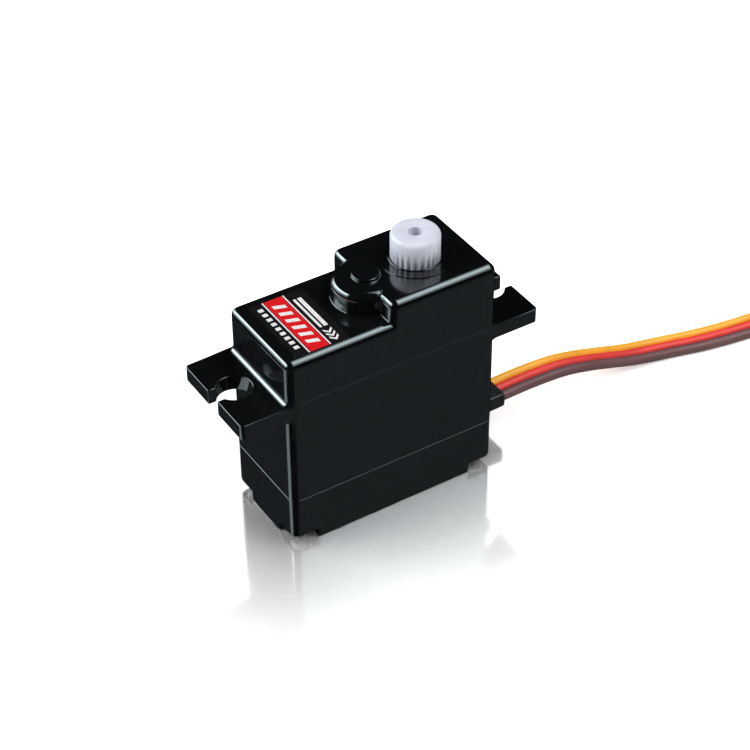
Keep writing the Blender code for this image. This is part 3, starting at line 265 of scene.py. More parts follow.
def rounded_outline(half_x, half_y, radius, steps=8, centre=(0.0, 0.0)):
    outline = []
    for start, (side_x, side_y) in zip((0, 90, 180, 270), ((1, 1), (-1, 1), (-1, -1), (1, -1))):
        corner = (
            centre[0] + side_x * (half_x - radius),
            centre[1] + side_y * (half_y - radius),
        )
        outline += arc(corner, radius, start, start + 90, steps)
    return outline


def lofted_mesh(levels):
    """A closed skin through outlines with the same number of points. levels are (outline, z)."""
    bm = bmesh.new()
    rings = [[bm.verts.new((x, y, z)) for x, y in outline] for outline, z in levels]
    count = len(rings[0])
    for lower, upper in zip(rings, rings[1:]):
        for i in range(count):
            j = (i + 1) % count
            bm.faces.new((lower[i], lower[j], upper[j], upper[i]))
    bm.faces.new(rings[0])
    bm.faces.new(rings[-1])
    bmesh.ops.recalc_face_normals(bm, faces=bm.faces)
    return bm


def prism_mesh(outline, bottom, top):
    return lofted_mesh([(outline, bottom), (outline, top)])


def turned_mesh(profile, segments, centre):
    """A profile of (radius, z) points, none on the axis, turned about an upright axis."""
    return lofted_mesh([(circle(radius, segments, centre), z) for radius, z in profile])


def moved(bm, offset):
    bmesh.ops.translate(bm, vec=offset, verts=bm.verts)
    return bm


def turned_upright(bm):
    """A prism drawn in X and Z, stood up so that its height runs along Y."""
    bmesh.ops.rotate(bm, verts=bm.verts, matrix=Matrix.Rotation(math.pi / 2, 3, "X"))
    return bm


def combined_mesh(parts):
    """Shapes that don't touch each other, as one bmesh."""
    joined = bmesh.new()
    for part in parts:
        mesh = bpy.data.meshes.new("part")
        bmesh.ops.recalc_face_normals(part, faces=part.faces)
        part.to_mesh(mesh)
        part.free()
        joined.from_mesh(mesh)
        bpy.data.meshes.remove(mesh)
    return joined


def apply_modifiers(obj):
    evaluated = obj.evaluated_get(bpy.context.evaluated_depsgraph_get())
    result = bpy.data.meshes.new_from_object(evaluated)
    obj.modifiers.clear()
    old = obj.data
    obj.data = result
    bpy.data.meshes.remove(old)
    obj.data.name = obj.name


def join_shape(obj, shape, operation):
    tool = add_object("tool", shape)
    modifier = obj.modifiers.new("boolean", "BOOLEAN")
    modifier.operation = operation
    modifier.solver = "EXACT"
    modifier.object = tool
    apply_modifiers(obj)
    bpy.data.objects.remove(tool, do_unlink=True)
    tidy = bmesh.new()
    tidy.from_mesh(obj.data)
    bmesh.ops.remove_doubles(tidy, verts=tidy.verts, dist=0.002 * MM)
    bmesh.ops.dissolve_limit(
        tidy, angle_limit=math.radians(0.2), verts=tidy.verts, edges=tidy.edges
    )
    tidy.to_mesh(obj.data)
    tidy.free()
    obj.data.shade_smooth()


def unite(obj, *shapes):
    for shape in shapes:
        join_shape(obj, shape, "UNION")


def cut(obj, *shapes):
    for shape in shapes:
        join_shape(obj, shape, "DIFFERENCE")


def bevel_edges(bm, chosen, width, segments):
    bmesh.ops.bevel(
        bm,
        geom=[edge for edge in bm.edges if chosen(edge)],
        offset=width,
        segments=segments,
        profile=0.5,
        affect="EDGES",
        clamp_overlap=False,
    )


def corners(x, y):
    return [(side_x * x, side_y * y) for side_x in (-1, 1) for side_y in (-1, 1)]


def lies_at(edge, height):
    return all(abs(vert.co.z - height) < HAIRLINE / 4 for vert in edge.verts)


def soften(obj, width, crisp=None, sharpest=35, segments=3):
    """Rounds the sharp edges, except those for which crisp(edge) holds."""
    mesh = obj.data
    bm = bmesh.new()
    bm.from_mesh(mesh)
    weights = bm.edges.layers.float.new("bevel_weight_edge")
    for edge in bm.edges:
        sharp = edge.calc_face_angle(0.0) > math.radians(sharpest)
        keep = sharp and crisp is not None and crisp(edge)
        edge[weights] = 1.0 if sharp and not keep else 0.0
        edge.smooth = not keep
    bm.to_mesh(mesh)
    bm.free()
    bevel = obj.modifiers.new("edges", "BEVEL")
    bevel.width = width
    bevel.segments = segments
    bevel.limit_method = "WEIGHT"
    bevel.use_clamp_overlap = False
    weighted = obj.modifiers.new("normals", "WEIGHTED_NORMAL")
    weighted.keep_sharp = True
    weighted.weight = 100


# ---- camera, floor and lights ---------------------------------------------------------------
def direction(azimuth, elevation):
    """Unit vector from the object towards a place seen at those angles. Azimuth 0 is -Y."""
    a, e = math.radians(azimuth), math.radians(elevation)
    return Vector((math.sin(a) * math.cos(e), -math.cos(a) * math.cos(e), math.sin(e)))


def make_camera():
    data = bpy.data.cameras.new("camera")
    data.lens = CAMERA_LENS
    data.sensor_width = 36.0
    data.clip_start = 0.01
    data.clip_end = 20.0
    camera = bpy.data.objects.new("camera", data)
    bpy.context.scene.collection.objects.link(camera)
    back = direction(CAMERA_AZIMUTH, CAMERA_ELEVATION)
    camera.location = Vector(CAMERA_TARGET) + back * CAMERA_DISTANCE
    level = (-back).to_track_quat("-Z", "Y").to_matrix()
    roll = Matrix.Rotation(math.radians(CAMERA_ROLL), 3, "Z")
    camera.rotation_euler = (level @ roll).to_euler()
    bpy.context.scene.camera = camera


def make_floor():
    bm = bmesh.new()
    bmesh.ops.create_grid(bm, x_segments=1, y_segments=1, size=4.0)
    floor = add_object("floor", bm, floor_finish())
    floor.visible_glossy = False
    floor.visible_shadow = False
    return floor


def facing(start, end):
    """Axes of something that, seen from the object, reaches from one direction to another."""
    start, end = Vector(start).normalized(), Vector(end).normalized()
    middle = (start + end).normalized()
    along = (end - start).normalized()
    return along, middle.cross(along), middle, start.angle(end)


def add_panel(name, start, end, width, distance, radiance, colour=(1.0, 1.0, 1.0)):
    """A soft box between two directions. width is its other angle, in degrees.

    It lights the surfaces and doesn't show in them. radiance is how bright its face is.
    """
    along, across, middle, angle = facing(start, end)
    data = bpy.data.lights.new(name, "AREA")
    data.shape = "RECTANGLE"
    data.size = 2 * distance * math.tan(angle / 2)
    data.size_y = 2 * distance * math.tan(math.radians(width) / 2)
    data.energy = radiance * math.pi * data.size * data.size_y
    data.color = colour
    panel = bpy.data.objects.new(name, data)
    bpy.context.scene.collection.objects.link(panel)
    turn = Matrix((along, across, middle)).transposed().to_4x4()
    panel.matrix_world = Matrix.Translation(Vector(CAMERA_TARGET) + middle * distance) @ turn
    panel.visible_camera = False
    panel.visible_glossy = False


def glowing(name, radiance, colour):
    material = bpy.data.materials.new(name)
    material.use_nodes = True
    shader = material.node_tree.nodes["Principled BSDF"]
    shader.inputs["Base Color"].default_value = (0.0, 0.0, 0.0, 1.0)
    shader.inputs["Specular IOR Level"].default_value = 0.0
    shader.inputs["Emission Color"].default_value = (*colour, 1.0)
    shader.inputs["Emission Strength"].default_value = radiance
    return material


def add_card(name, points, radiance, colour=(1.0, 1.0, 1.0)):
    """A bright card through the points, in metres, that shows only in reflections."""
    bm = bmesh.new()
    bm.faces.new([bm.verts.new(point) for point in points])
    card = add_object(name, bm, glowing(name, radiance, colour))
    card.visible_camera = False
    card.visible_diffuse = False
    card.visible_transmission = False
    card.visible_shadow = False


def add_sky_card(name, start, end, width, radiance, colour=(1.0, 1.0, 1.0), distance=0.8):
    """A card up in the air, between two directions seen from the object."""
    along, across, middle, angle = facing(start, end)
    centre = Vector(CAMERA_TARGET) + middle * distance
    half_along = along * distance * math.tan(angle / 2)
    half_across = across * distance * math.tan(math.radians(width) / 2)
    points = [
        centre + half_along * side_a + half_across * side_b
        for side_a, side_b in ((-1, -1), (1, -1), (1, 1), (-1, 1))
    ]
    add_card(name, points, radiance, colour)


def add_floor_card(name, points, radiance, colour=(1.0, 1.0, 1.0)):
    """A card just under the floor, where the object's reflections reach it."""
    add_card(name, [(x, y, -0.2 * MM) for x, y in points], radiance, colour)


def add_room(radiance):
    """A bright box round everything, seen by no ray but the floor's."""
    size = 3.5
    bm = box_mesh((-size, -size, -0.2), (size, size, size))
    room = add_object("room", bm, glowing("room", radiance, (1.0, 1.0, 1.0)))
    room.visible_camera = False
    room.visible_shadow = False
    return room


def make_lights(floor):
    add_panel("left_box", (-0.76, 0.10, 0.64), (-0.58, 0.68, 0.42), 30, 0.7, 9.5)
    add_panel("top_box", (0.41, 0.10, 0.90), (0.41, -0.66, 0.63), 36, 0.8, 5.4)
    # Left and a little behind: the strong highlights on the left edges and the boss.
    add_sky_card("left_glow", (-0.86, 0.03, 0.45), (-0.20, 0.97, 0.08), 34, 2.5, COOL)
    add_sky_card("left_core", (-0.78, 0.08, 0.60), (-0.32, 0.93, 0.18), 15, 11.0, COOL, 0.78)
    # High up and to the right: the softer highlights on the front edges.
    add_sky_card("top_glow", (0.41, 0.30, 0.86), (0.41, -0.72, 0.55), 34, 1.6, COOL)
    add_sky_card("top_core", (0.41, 0.02, 0.91), (0.41, -0.48, 0.77), 18, 5.0, COOL, 0.78)
    # What the upright faces reflect: a pale surface at the left, dim ones behind and in front.
    x, y = -HALF_LENGTH, -HALF_WIDTH
    reach = 0.09
    left_edge = (x - 0.72 * reach, y + 0.69 * reach)
    corner = (x, y + 0.4 * MM)
    add_floor_card("left_card", [corner, left_edge, (x - reach, y - 0.1 * reach)], 1.1, COOL)
    add_floor_card("end_card", [corner, left_edge, (x, y + reach)], 0.036, COOL)
    front = [(x, y), (x + 0.2 * reach, y - reach), (x + 2 * reach, y - reach), (x + 2 * reach, y)]
    add_floor_card("front_card", front, 0.09, COOL)
    # The floor alone mirrors this pale room.
    room = add_room(1.0)
    receivers = bpy.data.collections.new("lit_by_the_room")
    receivers.objects.link(floor)
    room.light_linking.receiver_collection = receivers
    world = bpy.data.worlds.new("studio")
    bpy.context.scene.world = world
    world.use_nodes = True
    background = world.node_tree.nodes["Background"]
    background.inputs["Color"].default_value = (1.0, 1.0, 1.0, 1.0)
    background.inputs["Strength"].default_value = 0.25
    world.cycles_visibility.glossy = False
    bpy.context.scene.view_settings.view_transform = "Standard"


# ---- materials ------------------------------------------------------------------------------
class Finish:
    """A Principled material with procedural detail, built step by step."""

    def __init__(self, name, colour, roughness, metallic=0.0, ior=1.5):
        self.name = name
        self.material = bpy.data.materials.new(name + "_finish")
        self.material.use_nodes = True
        self.nodes = self.material.node_tree.nodes
        self.links = self.material.node_tree.links
        self.shader = self.nodes["Principled BSDF"]
        self.colour = colour
        self.roughness = roughness
        self.shader.inputs["Base Color"].default_value = (*colour, 1.0)
        self.shader.inputs["Roughness"].default_value = roughness
        self.shader.inputs["Metallic"].default_value = metallic
        self.shader.inputs["IOR"].default_value = ior
        self.place = self.nodes.new("ShaderNodeTexCoord").outputs["Object"]
        self.normal = None

    def noise(self, size, stretch=(1.0, 1.0, 1.0), detail=3.0):
        """Noise whose blotches are about size metres across."""
        mapping = self.nodes.new("ShaderNodeMapping")
        mapping.inputs["Scale"].default_value = [1.0 / size / s for s in stretch]
        noise = self.nodes.new("ShaderNodeTexNoise")
        noise.inputs["Scale"].default_value = 1.0
        noise.inputs["Detail"].default_value = detail
        self.links.new(self.place, mapping.inputs["Vector"])
        self.links.new(mapping.outputs["Vector"], noise.inputs["Vector"])
        return noise.outputs["Fac"]

    def spread(self, value, low, high, start=0.3, end=0.7):
        """Value between start and end, mapped to low and high."""
        ranged = self.nodes.new("ShaderNodeMapRange")
        ranged.inputs["From Min"].default_value = start
        ranged.inputs["From Max"].default_value = end
        ranged.inputs["To Min"].default_value = low
        ranged.inputs["To Max"].default_value = high
        self.links.new(value, ranged.inputs["Value"])
        return ranged.outputs["Result"]

    def vary_roughness(self, size, amount, stretch=(1.0, 1.0, 1.0)):
        low, high = self.roughness - amount, self.roughness + amount
        value = self.spread(self.noise(size, stretch), max(low, 0.02), high)
        self.links.new(value, self.shader.inputs["Roughness"])
        return self

    def vary_colour(self, size, other, stretch=(1.0, 1.0, 1.0), start=0.35, end=0.65):
        """Blotches of another colour."""
        share = self.spread(self.noise(size, stretch), 0.0, 1.0, start, end)
        mix = self.nodes.new("ShaderNodeMix")
        mix.data_type = "RGBA"
        self.links.new(share, mix.inputs["Factor"])
        source = self.shader.inputs["Base Color"]
        if source.links:
            self.links.new(source.links[0].from_socket, mix.inputs["A"])
        else:
            mix.inputs["A"].default_value = (*self.colour, 1.0)
        mix.inputs["B"].default_value = (*other, 1.0)
        self.links.new(mix.outputs["Result"], source)
        return self

    def bump(self, size, height, stretch=(1.0, 1.0, 1.0), detail=3.0):
        """Raises the surface by up to height metres. Calls add up."""
        bump = self.nodes.new("ShaderNodeBump")
        bump.inputs["Distance"].default_value = height
        self.links.new(self.noise(size, stretch, detail), bump.inputs["Height"])
        if self.normal:
            self.links.new(self.normal, bump.inputs["Normal"])
        self.normal = bump.outputs["Normal"]
        self.links.new(self.normal, self.shader.inputs["Normal"])
        return self


def floor_finish():
    """White acrylic that mirrors the body close by and fades to plain white further out."""
    finish = Finish("floor_acrylic", (0.9, 0.9, 0.9), 0.10)
    finish.vary_roughness(0.03, 0.01)
    zero = Vector((0.0, 0.0, 0.0))
    value = finish.place
    for operation, operand in (
        ("ABSOLUTE", zero),
        ("SUBTRACT", Vector((HALF_LENGTH, HALF_WIDTH, 0.0))),
        ("MAXIMUM", zero),
    ):
        step = finish.nodes.new("ShaderNodeVectorMath")
        step.operation = operation
        step.inputs[1].default_value = operand
        finish.links.new(value, step.inputs[0])
        value = step.outputs["Vector"]
    distance = finish.nodes.new("ShaderNodeVectorMath")
    distance.operation = "LENGTH"
    finish.links.new(value, distance.inputs[0])
    share = finish.spread(distance.outputs["Value"], MIRROR_SHARE, 0.0, 0.0, MIRROR_REACH)
    finish.links.new(share, finish.shader.inputs["Metallic"])
    return finish.material


def case_finish():
    finish = Finish("black_case", (0.0030, 0.0038, 0.0044), 0.10, ior=1.9)
    finish.vary_colour(2.5 * MM, (0.0034, 0.0042, 0.0048))
    finish.vary_roughness(1.2 * MM, 0.02)
    finish.bump(0.3 * MM, 0.0002 * MM)
    return finish.material


def make_finishes():
    """Each material slot's finish, by the record's slot names."""
    steel = Finish("screw_steel", (0.45, 0.45, 0.46), 0.34, 1.0)
    steel.vary_roughness(0.3 * MM, 0.10).vary_colour(0.6 * MM, (0.33, 0.32, 0.31))
    steel.bump(0.08 * MM, 0.002 * MM)
    bright = Finish("bright_steel", (0.66, 0.66, 0.67), 0.24, 1.0)
    bright.vary_roughness(0.5 * MM, 0.09, (1, 1, 0.1)).bump(0.12 * MM, 0.0015 * MM, (1, 1, 0.15))
    bright.vary_colour(1.2 * MM, (0.55, 0.54, 0.53))
    brass = Finish("brass", (0.78, 0.58, 0.28), 0.28, 1.0)
    brass.vary_roughness(0.4 * MM, 0.09).vary_colour(0.8 * MM, (0.62, 0.42, 0.18))
    brass.bump(0.1 * MM, 0.0015 * MM, (1, 1, 0.2))
    nylon = Finish("white_nylon", (0.63, 0.65, 0.73), 0.38)
    nylon.shader.inputs["Subsurface Weight"].default_value = 0.35
    nylon.shader.inputs["Subsurface Radius"].default_value = (1.0, 1.0, 1.15)
    nylon.shader.inputs["Subsurface Scale"].default_value = 0.5 * MM
    nylon.vary_roughness(0.6 * MM, 0.08).vary_colour(1.5 * MM, (0.58, 0.60, 0.69))
    nylon.bump(0.2 * MM, 0.002 * MM)
    endbell = Finish("endbell_plastic", (0.75, 0.74, 0.70), 0.45)
    endbell.vary_roughness(0.8 * MM, 0.08).vary_colour(1.5 * MM, (0.68, 0.66, 0.60))
    endbell.bump(0.15 * MM, 0.003 * MM)
    copper = Finish("copper_winding", (0.72, 0.33, 0.15), 0.30, 1.0)
    copper.vary_colour(0.5 * MM, (0.50, 0.20, 0.08), (1, 1, 0.2)).vary_roughness(0.4 * MM, 0.1)
    copper.bump(0.12 * MM, 0.02 * MM, (6, 6, 1))
    ferrite = Finish("ferrite", (0.05, 0.05, 0.055), 0.7)
    ferrite.vary_colour(0.4 * MM, (0.09, 0.09, 0.095)).vary_roughness(0.5 * MM, 0.12)
    ferrite.bump(0.1 * MM, 0.008 * MM)
    tinned = Finish("tinned_terminal", (0.75, 0.74, 0.70), 0.3, 1.0)
    tinned.vary_roughness(0.3 * MM, 0.12).vary_colour(0.5 * MM, (0.60, 0.59, 0.56))
    tinned.bump(0.2 * MM, 0.004 * MM)
    shell = Finish("pot_shell", (0.10, 0.16, 0.34), 0.42)
    shell.vary_roughness(0.6 * MM, 0.08).vary_colour(1.0 * MM, (0.08, 0.13, 0.28))
    shell.bump(0.15 * MM, 0.003 * MM)
    phenolic = Finish("phenolic", (0.30, 0.16, 0.07), 0.5)
    phenolic.vary_colour(0.25 * MM, (0.20, 0.10, 0.04), (4, 1, 1)).vary_roughness(0.5 * MM, 0.1)
    phenolic.bump(0.12 * MM, 0.004 * MM, (4, 1, 1))
    sleeve = Finish("grey_sleeve", (0.55, 0.56, 0.58), 0.42)
    sleeve.vary_roughness(0.4 * MM, 0.08).vary_colour(0.8 * MM, (0.46, 0.47, 0.49))
    sleeve.bump(0.1 * MM, 0.002 * MM, (1, 1, 3))
    board = Finish("board_laminate", (0.015, 0.13, 0.05), 0.32)
    board.vary_colour(0.5 * MM, (0.03, 0.20, 0.09), (6, 1, 1), 0.5, 0.56)
    board.vary_roughness(0.8 * MM, 0.08).bump(0.12 * MM, 0.003 * MM)
    chip = Finish("chip_epoxy", (0.025, 0.025, 0.028), 0.5)
    chip.vary_roughness(0.3 * MM, 0.08).vary_colour(0.4 * MM, (0.04, 0.04, 0.043))
    chip.bump(0.06 * MM, 0.003 * MM)
    ceramic = Finish("ceramic_part", (0.62, 0.52, 0.38), 0.45)
    ceramic.vary_roughness(0.3 * MM, 0.08).vary_colour(0.5 * MM, (0.54, 0.44, 0.31))
    ceramic.bump(0.08 * MM, 0.003 * MM)
    rubber = Finish("black_rubber", (0.014, 0.015, 0.017), 0.34)
    rubber.vary_roughness(0.8 * MM, 0.08).vary_colour(1.0 * MM, (0.022, 0.023, 0.025))
    rubber.bump(0.12 * MM, 0.004 * MM)
    plug = Finish("plug_plastic", (0.013, 0.013, 0.015), 0.34)
    plug.vary_roughness(1.0 * MM, 0.07).vary_colour(1.2 * MM, (0.02, 0.02, 0.022))
    plug.bump(0.15 * MM, 0.003 * MM)
    gold = Finish("gold_contact", (0.86, 0.65, 0.25), 0.24, 1.0)
    gold.vary_roughness(0.3 * MM, 0.09).vary_colour(0.6 * MM, (0.74, 0.52, 0.18))
    gold.bump(0.1 * MM, 0.0015 * MM)
    film = Finish("label_film", (0.006, 0.006, 0.0065), 0.16)
    film.vary_roughness(0.9 * MM, 0.04).vary_colour(0.8 * MM, (0.009, 0.009, 0.010))
    film.bump(0.5 * MM, 0.0008 * MM)
    made = (
        steel, bright, brass, nylon, endbell, copper, ferrite, tinned, shell, phenolic, sleeve,
        board, chip, ceramic, rubber, plug, gold, film,
    )
    finishes = {finish.name: finish.material for finish in made}
    finishes["black_case"] = case_finish()
    finishes["orange_insulation"] = insulation("orange_insulation", (1.0, 0.46, 0.03))
    finishes["red_insulation"] = insulation("red_insulation", (0.86, 0.055, 0.045))
    finishes["brown_insulation"] = insulation("brown_insulation", (0.16, 0.075, 0.075))
    return finishes


def insulation(name, colour):
    """Extruded PVC: glossy, a little uneven along its length."""
    finish = Finish(name, colour, 0.44)
    darker = tuple(0.85 * channel for channel in colour)
    finish.vary_colour(1.6 * MM, darker, (3, 1, 1)).vary_roughness(1.5 * MM, 0.07, (3, 1, 1))
    finish.bump(0.25 * MM, 0.003 * MM, (5, 1, 1))
    return finish.material


def ink(name, colour):
    """Printed ink on the label: slightly mottled, as glossy as the film."""
    finish = Finish(name, colour, 0.2)
    worn = tuple(0.88 * channel for channel in colour)
    finish.vary_colour(0.35 * MM, worn).vary_roughness(0.8 * MM, 0.05)
    finish.bump(0.3 * MM, 0.0008 * MM)
    return finish.material


# ---- case pieces ----------------------------------------------------------------------------
def hollow_meshes(low, high, left, right):
    """Two crossed boxes that hollow the case and leave a screw post in each corner."""
    inner_x = HALF_LENGTH - CASE_WALL
    inner_y = HALF_WIDTH - CASE_WALL
    post_x = inner_x - POST_SIZE
    post_y = inner_y - POST_SIZE
    long_box = box_mesh(
        (max(left, -inner_x), -post_y, low), (min(right, inner_x), post_y, high)
    )
    wide_box = box_mesh(
        (max(left, -post_x), -inner_y, low), (min(right, post_x), inner_y, high)
    )
    return long_box, wide_box


def screw_holes(bottom, top):
    holes = [
        prism_mesh(circle(SCREW_HOLE_RADIUS, 24, place), bottom, top)
        for place in corners(SCREW_X, SCREW_Y)
    ]
    return combined_mesh(holes)


def make_top_case(finishes):
    output_x = AXES["output"][0]
    boss_x = AXES["third"][0]
    bottom = DECK_TOP + HAIRLINE
    collar_top = HIGH_ROOF + COLLAR_HEIGHT
    profile = [
        (-HALF_LENGTH, bottom),
        (HALF_LENGTH, bottom),
        (HALF_LENGTH, HIGH_ROOF),
        (STEP_X, HIGH_ROOF),
        (STEP_X, LOW_ROOF),
        (-HALF_LENGTH, LOW_ROOF),
    ]
    bm = turned_upright(prism_mesh(profile, -HALF_WIDTH, HALF_WIDTH))
    tiny = 0.01 * MM

    def is_outer(edge):
        at_bottom = all(abs(vert.co.z - bottom) < tiny for vert in edge.verts)
        in_step = all(
            abs(vert.co.x - STEP_X) < tiny and abs(vert.co.z - LOW_ROOF) < tiny
            for vert in edge.verts
        )
        return not at_bottom and not in_step

    bevel_edges(bm, is_outer, CASE_ROUNDING, 8)
    case = add_object("top_case_shell", bm, finishes["black_case"])

    fillet = arc((BOSS_RADIUS - BOSS_FILLET, HIGH_ROOF - BOSS_FILLET), BOSS_FILLET, 0, 90, 8)
    boss = turned_mesh(
        [(BOSS_RADIUS, LOW_ROOF - CASE_WALL / 2), *fillet], 96, (boss_x, 0.0)
    )
    pad = turned_mesh(
        [(PAD_RADIUS, HIGH_ROOF - CASE_WALL / 2), (PAD_RADIUS, HIGH_ROOF + PAD_HEIGHT)],
        64,
        (boss_x, 0.0),
    )
    lip = arc((LIP_RADIUS - LIP_HEIGHT, collar_top), LIP_HEIGHT, 0, 90, 6)
    collar = turned_mesh(
        [(COLLAR_RADIUS, HIGH_ROOF - CASE_WALL / 2), (COLLAR_RADIUS, collar_top), *lip],
        128,
        (output_x, 0.0),
    )
    skirt_levels = (
        (bottom, HALF_LENGTH + SKIRT_REACH),
        (bottom + SKIRT_LIP, HALF_LENGTH + SKIRT_REACH),
        (bottom + SKIRT_HEIGHT, HALF_LENGTH - 0.05 * MM),
    )
    skirt = lofted_mesh(
        [
            (rounded_outline(half_x, HALF_WIDTH - 0.02 * MM, CASE_ROUNDING), z)
            for z, half_x in skirt_levels
        ]
    )
    unite(case, boss, pad, collar, skirt)

    below = bottom - BEYOND
    cut(case, *hollow_meshes(below, LOW_ROOF - CASE_WALL, -HALF_LENGTH, HALF_LENGTH))
    cut(case, *hollow_meshes(below, HIGH_ROOF - CASE_WALL, STEP_X + CASE_WALL, HALF_LENGTH))
    boss_hollow = circle(BOSS_RADIUS - CASE_WALL, 64, (boss_x, 0.0))
    cut(case, prism_mesh(boss_hollow, below, HIGH_ROOF - CASE_WALL))
    bore = circle(ROOF_BORE_RADIUS, 128, (output_x, 0.0))
    cut(case, prism_mesh(bore, HIGH_ROOF - CASE_WALL - BEYOND, HIGH_ROOF + BEYOND))
    cut(case, screw_holes(below, SCREW_HOLE_TOP))
    axle_seat = circle(AXLE_HOLE_RADIUS, 32, (boss_x, 0.0))
    cut(case, prism_mesh(axle_seat, HIGH_ROOF - CASE_WALL - OVERLAP, AXLE_HIGH.z + AXLE_END_GAP))

    def is_crisp(edge):
        middle = (edge.verts[0].co + edge.verts[1].co) / 2
        from_axis = math.hypot(middle.x - output_x, middle.y)
        in_collar = from_axis < COLLAR_RADIUS + OVERLAP and middle.z > HIGH_ROOF - OVERLAP
        return in_collar or lies_at(edge, bottom)

    soften(case, EDGE, is_crisp)
    return finish_piece(case, "case", "black_case", "top_case")


def keyhole(side):
    opening = math.degrees(math.asin(SLOT_HALF_MOUTH / SLOT_RADIUS))
    end_x = EAR_END + BEYOND
    outline = arc((SLOT_X, 0.0), SLOT_RADIUS, opening, 360 - opening, 56)
    outline += [(end_x, -SLOT_HALF_MOUTH), (end_x, SLOT_HALF_MOUTH)]
    return [(side * x, y) for x, y in outline]


def make_middle_case(finishes):
    bottom = COVER_HIGH.z + HAIRLINE
    outline = rounded_outline(HALF_LENGTH, HALF_WIDTH, CASE_ROUNDING)
    bm = prism_mesh(outline, bottom, DECK_TOP)
    case = add_object("middle_case_shell", bm, finishes["black_case"])
    ear_bottom = DECK_TOP - EAR_THICKNESS
    ear_outline = rounded_outline(EAR_END, EAR_HALF_WIDTH, 0.5 * MM, 6)
    unite(case, prism_mesh(ear_outline, ear_bottom, DECK_TOP - 0.01 * MM))
    for shape in hollow_meshes(DECK_TOP - OVERLAP, BODY_HIGH.z, -HALF_LENGTH, HALF_LENGTH):
        for vert in shape.verts:
            vert.co.x -= math.copysign(SPIGOT_MARGIN, vert.co.x)
            vert.co.y -= math.copysign(SPIGOT_MARGIN, vert.co.y)
        unite(case, shape)
    deck_bottom = DECK_TOP - CASE_WALL
    cut(case, *hollow_meshes(bottom - BEYOND, deck_bottom, -HALF_LENGTH, HALF_LENGTH))
    above = BODY_HIGH.z + BEYOND
    cut(
        case,
        combined_mesh(
            [
                prism_mesh(keyhole(-1), ear_bottom - BEYOND, above),
                prism_mesh(keyhole(1), ear_bottom - BEYOND, above),
            ]
        ),
    )
    holes = (
        (MOTOR_HOLE_RADIUS, AXES["rotor"][0], ear_bottom),
        (POT_HOLE_RADIUS, AXES["output"][0], ear_bottom),
        (AXLE_HOLE_RADIUS, AXES["third"][0], AXLE_LOW.z - AXLE_END_GAP),
    )
    for radius, x, low in holes:
        cut(case, prism_mesh(circle(radius, 48, (x, 0.0)), low, above))
    cut(case, screw_holes(bottom - BEYOND, above))
    soften(case, EDGE)
    return finish_piece(case, "case", "black_case", "middle_case")


def make_bottom_cover(finishes):
    top = COVER_HIGH.z
    outline = rounded_outline(COVER_HIGH.x, COVER_HIGH.y, CASE_ROUNDING)
    cover = add_object("bottom_cover_shell", prism_mesh(outline, 0.0, top), finishes["black_case"])
    cut(cover, *hollow_meshes(COVER_FLOOR, top + BEYOND, -COVER_HIGH.x, COVER_HIGH.x))
    cut(cover, screw_holes(-BEYOND, top + BEYOND))
    recesses = []
    for x, y in corners(COVER_HIGH.x, COVER_HIGH.y):
        inner = Vector((x - math.copysign(RECESS_LENGTH, x), y - math.copysign(RECESS_LENGTH, y)))
        outer = Vector((x + math.copysign(BEYOND, x), y + math.copysign(BEYOND, y)))
        low = (min(inner.x, outer.x), min(inner.y, outer.y), -BEYOND)
        high = (max(inner.x, outer.x), max(inner.y, outer.y), RECESS_HEIGHT)
        recesses.append(box_mesh(low, high))
    cut(cover, combined_mesh(recesses))
    window_y = RELIEF_WIDTH / 2 + RELIEF_CLEARANCE
    window_z = RELIEF_HEIGHT / 2 + RELIEF_CLEARANCE
    window = box_mesh(
        (COVER_HIGH.x - CASE_WALL - BEYOND, -window_y, RELIEF_Z - window_z),
        (HALF_LENGTH + BEYOND, window_y, RELIEF_Z + window_z),
    )
    seats = [
        prism_mesh(circle(SCREW_SEAT_RADIUS, 48, place), -BEYOND, SCREW_SEAT_TOP)
        for place in corners(SCREW_X, SCREW_Y)
    ]
    cut(cover, window, combined_mesh(seats))
    soften(cover, PARTING_EDGE)
    return finish_piece(cover, "case", "black_case", "bottom_cover")


def finish_piece(obj, body, slot, *nodes):
    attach(obj, body)
    if nodes:
        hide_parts(*nodes)
    return obj


# ---- label ----------------------------------------------------------------------------------
def print_ink(name, outlines, low, high, finish):
    """Printed shapes: thin flat layers on the film."""
    layers = combined_mesh([prism_mesh(outline, low, high) for outline in outlines])
    printed = add_object(name, layers, finish)
    smooth_by_angle(printed, 40)
    return finish_piece(printed, "case", "label_film")


def slanted_bar(x, y, length_x, width_y, slant):
    """A bar across the label, its ends shifted along Y by slant."""
    half_x, half_y, shift = length_x / 2, width_y / 2, slant / 2
    return [
        (x - half_x, y - half_y + shift),
        (x + half_x, y - half_y - shift),
        (x + half_x, y + half_y - shift),
        (x - half_x, y + half_y + shift),
    ]


def chevron(x, y, half_x, width_y):
    """An arrow head that points along -Y."""
    return [
        (x, y - half_x),
        (x + half_x, y),
        (x + half_x, y + width_y),
        (x, y - half_x + width_y),
        (x - half_x, y + width_y),
        (x - half_x, y),
    ]


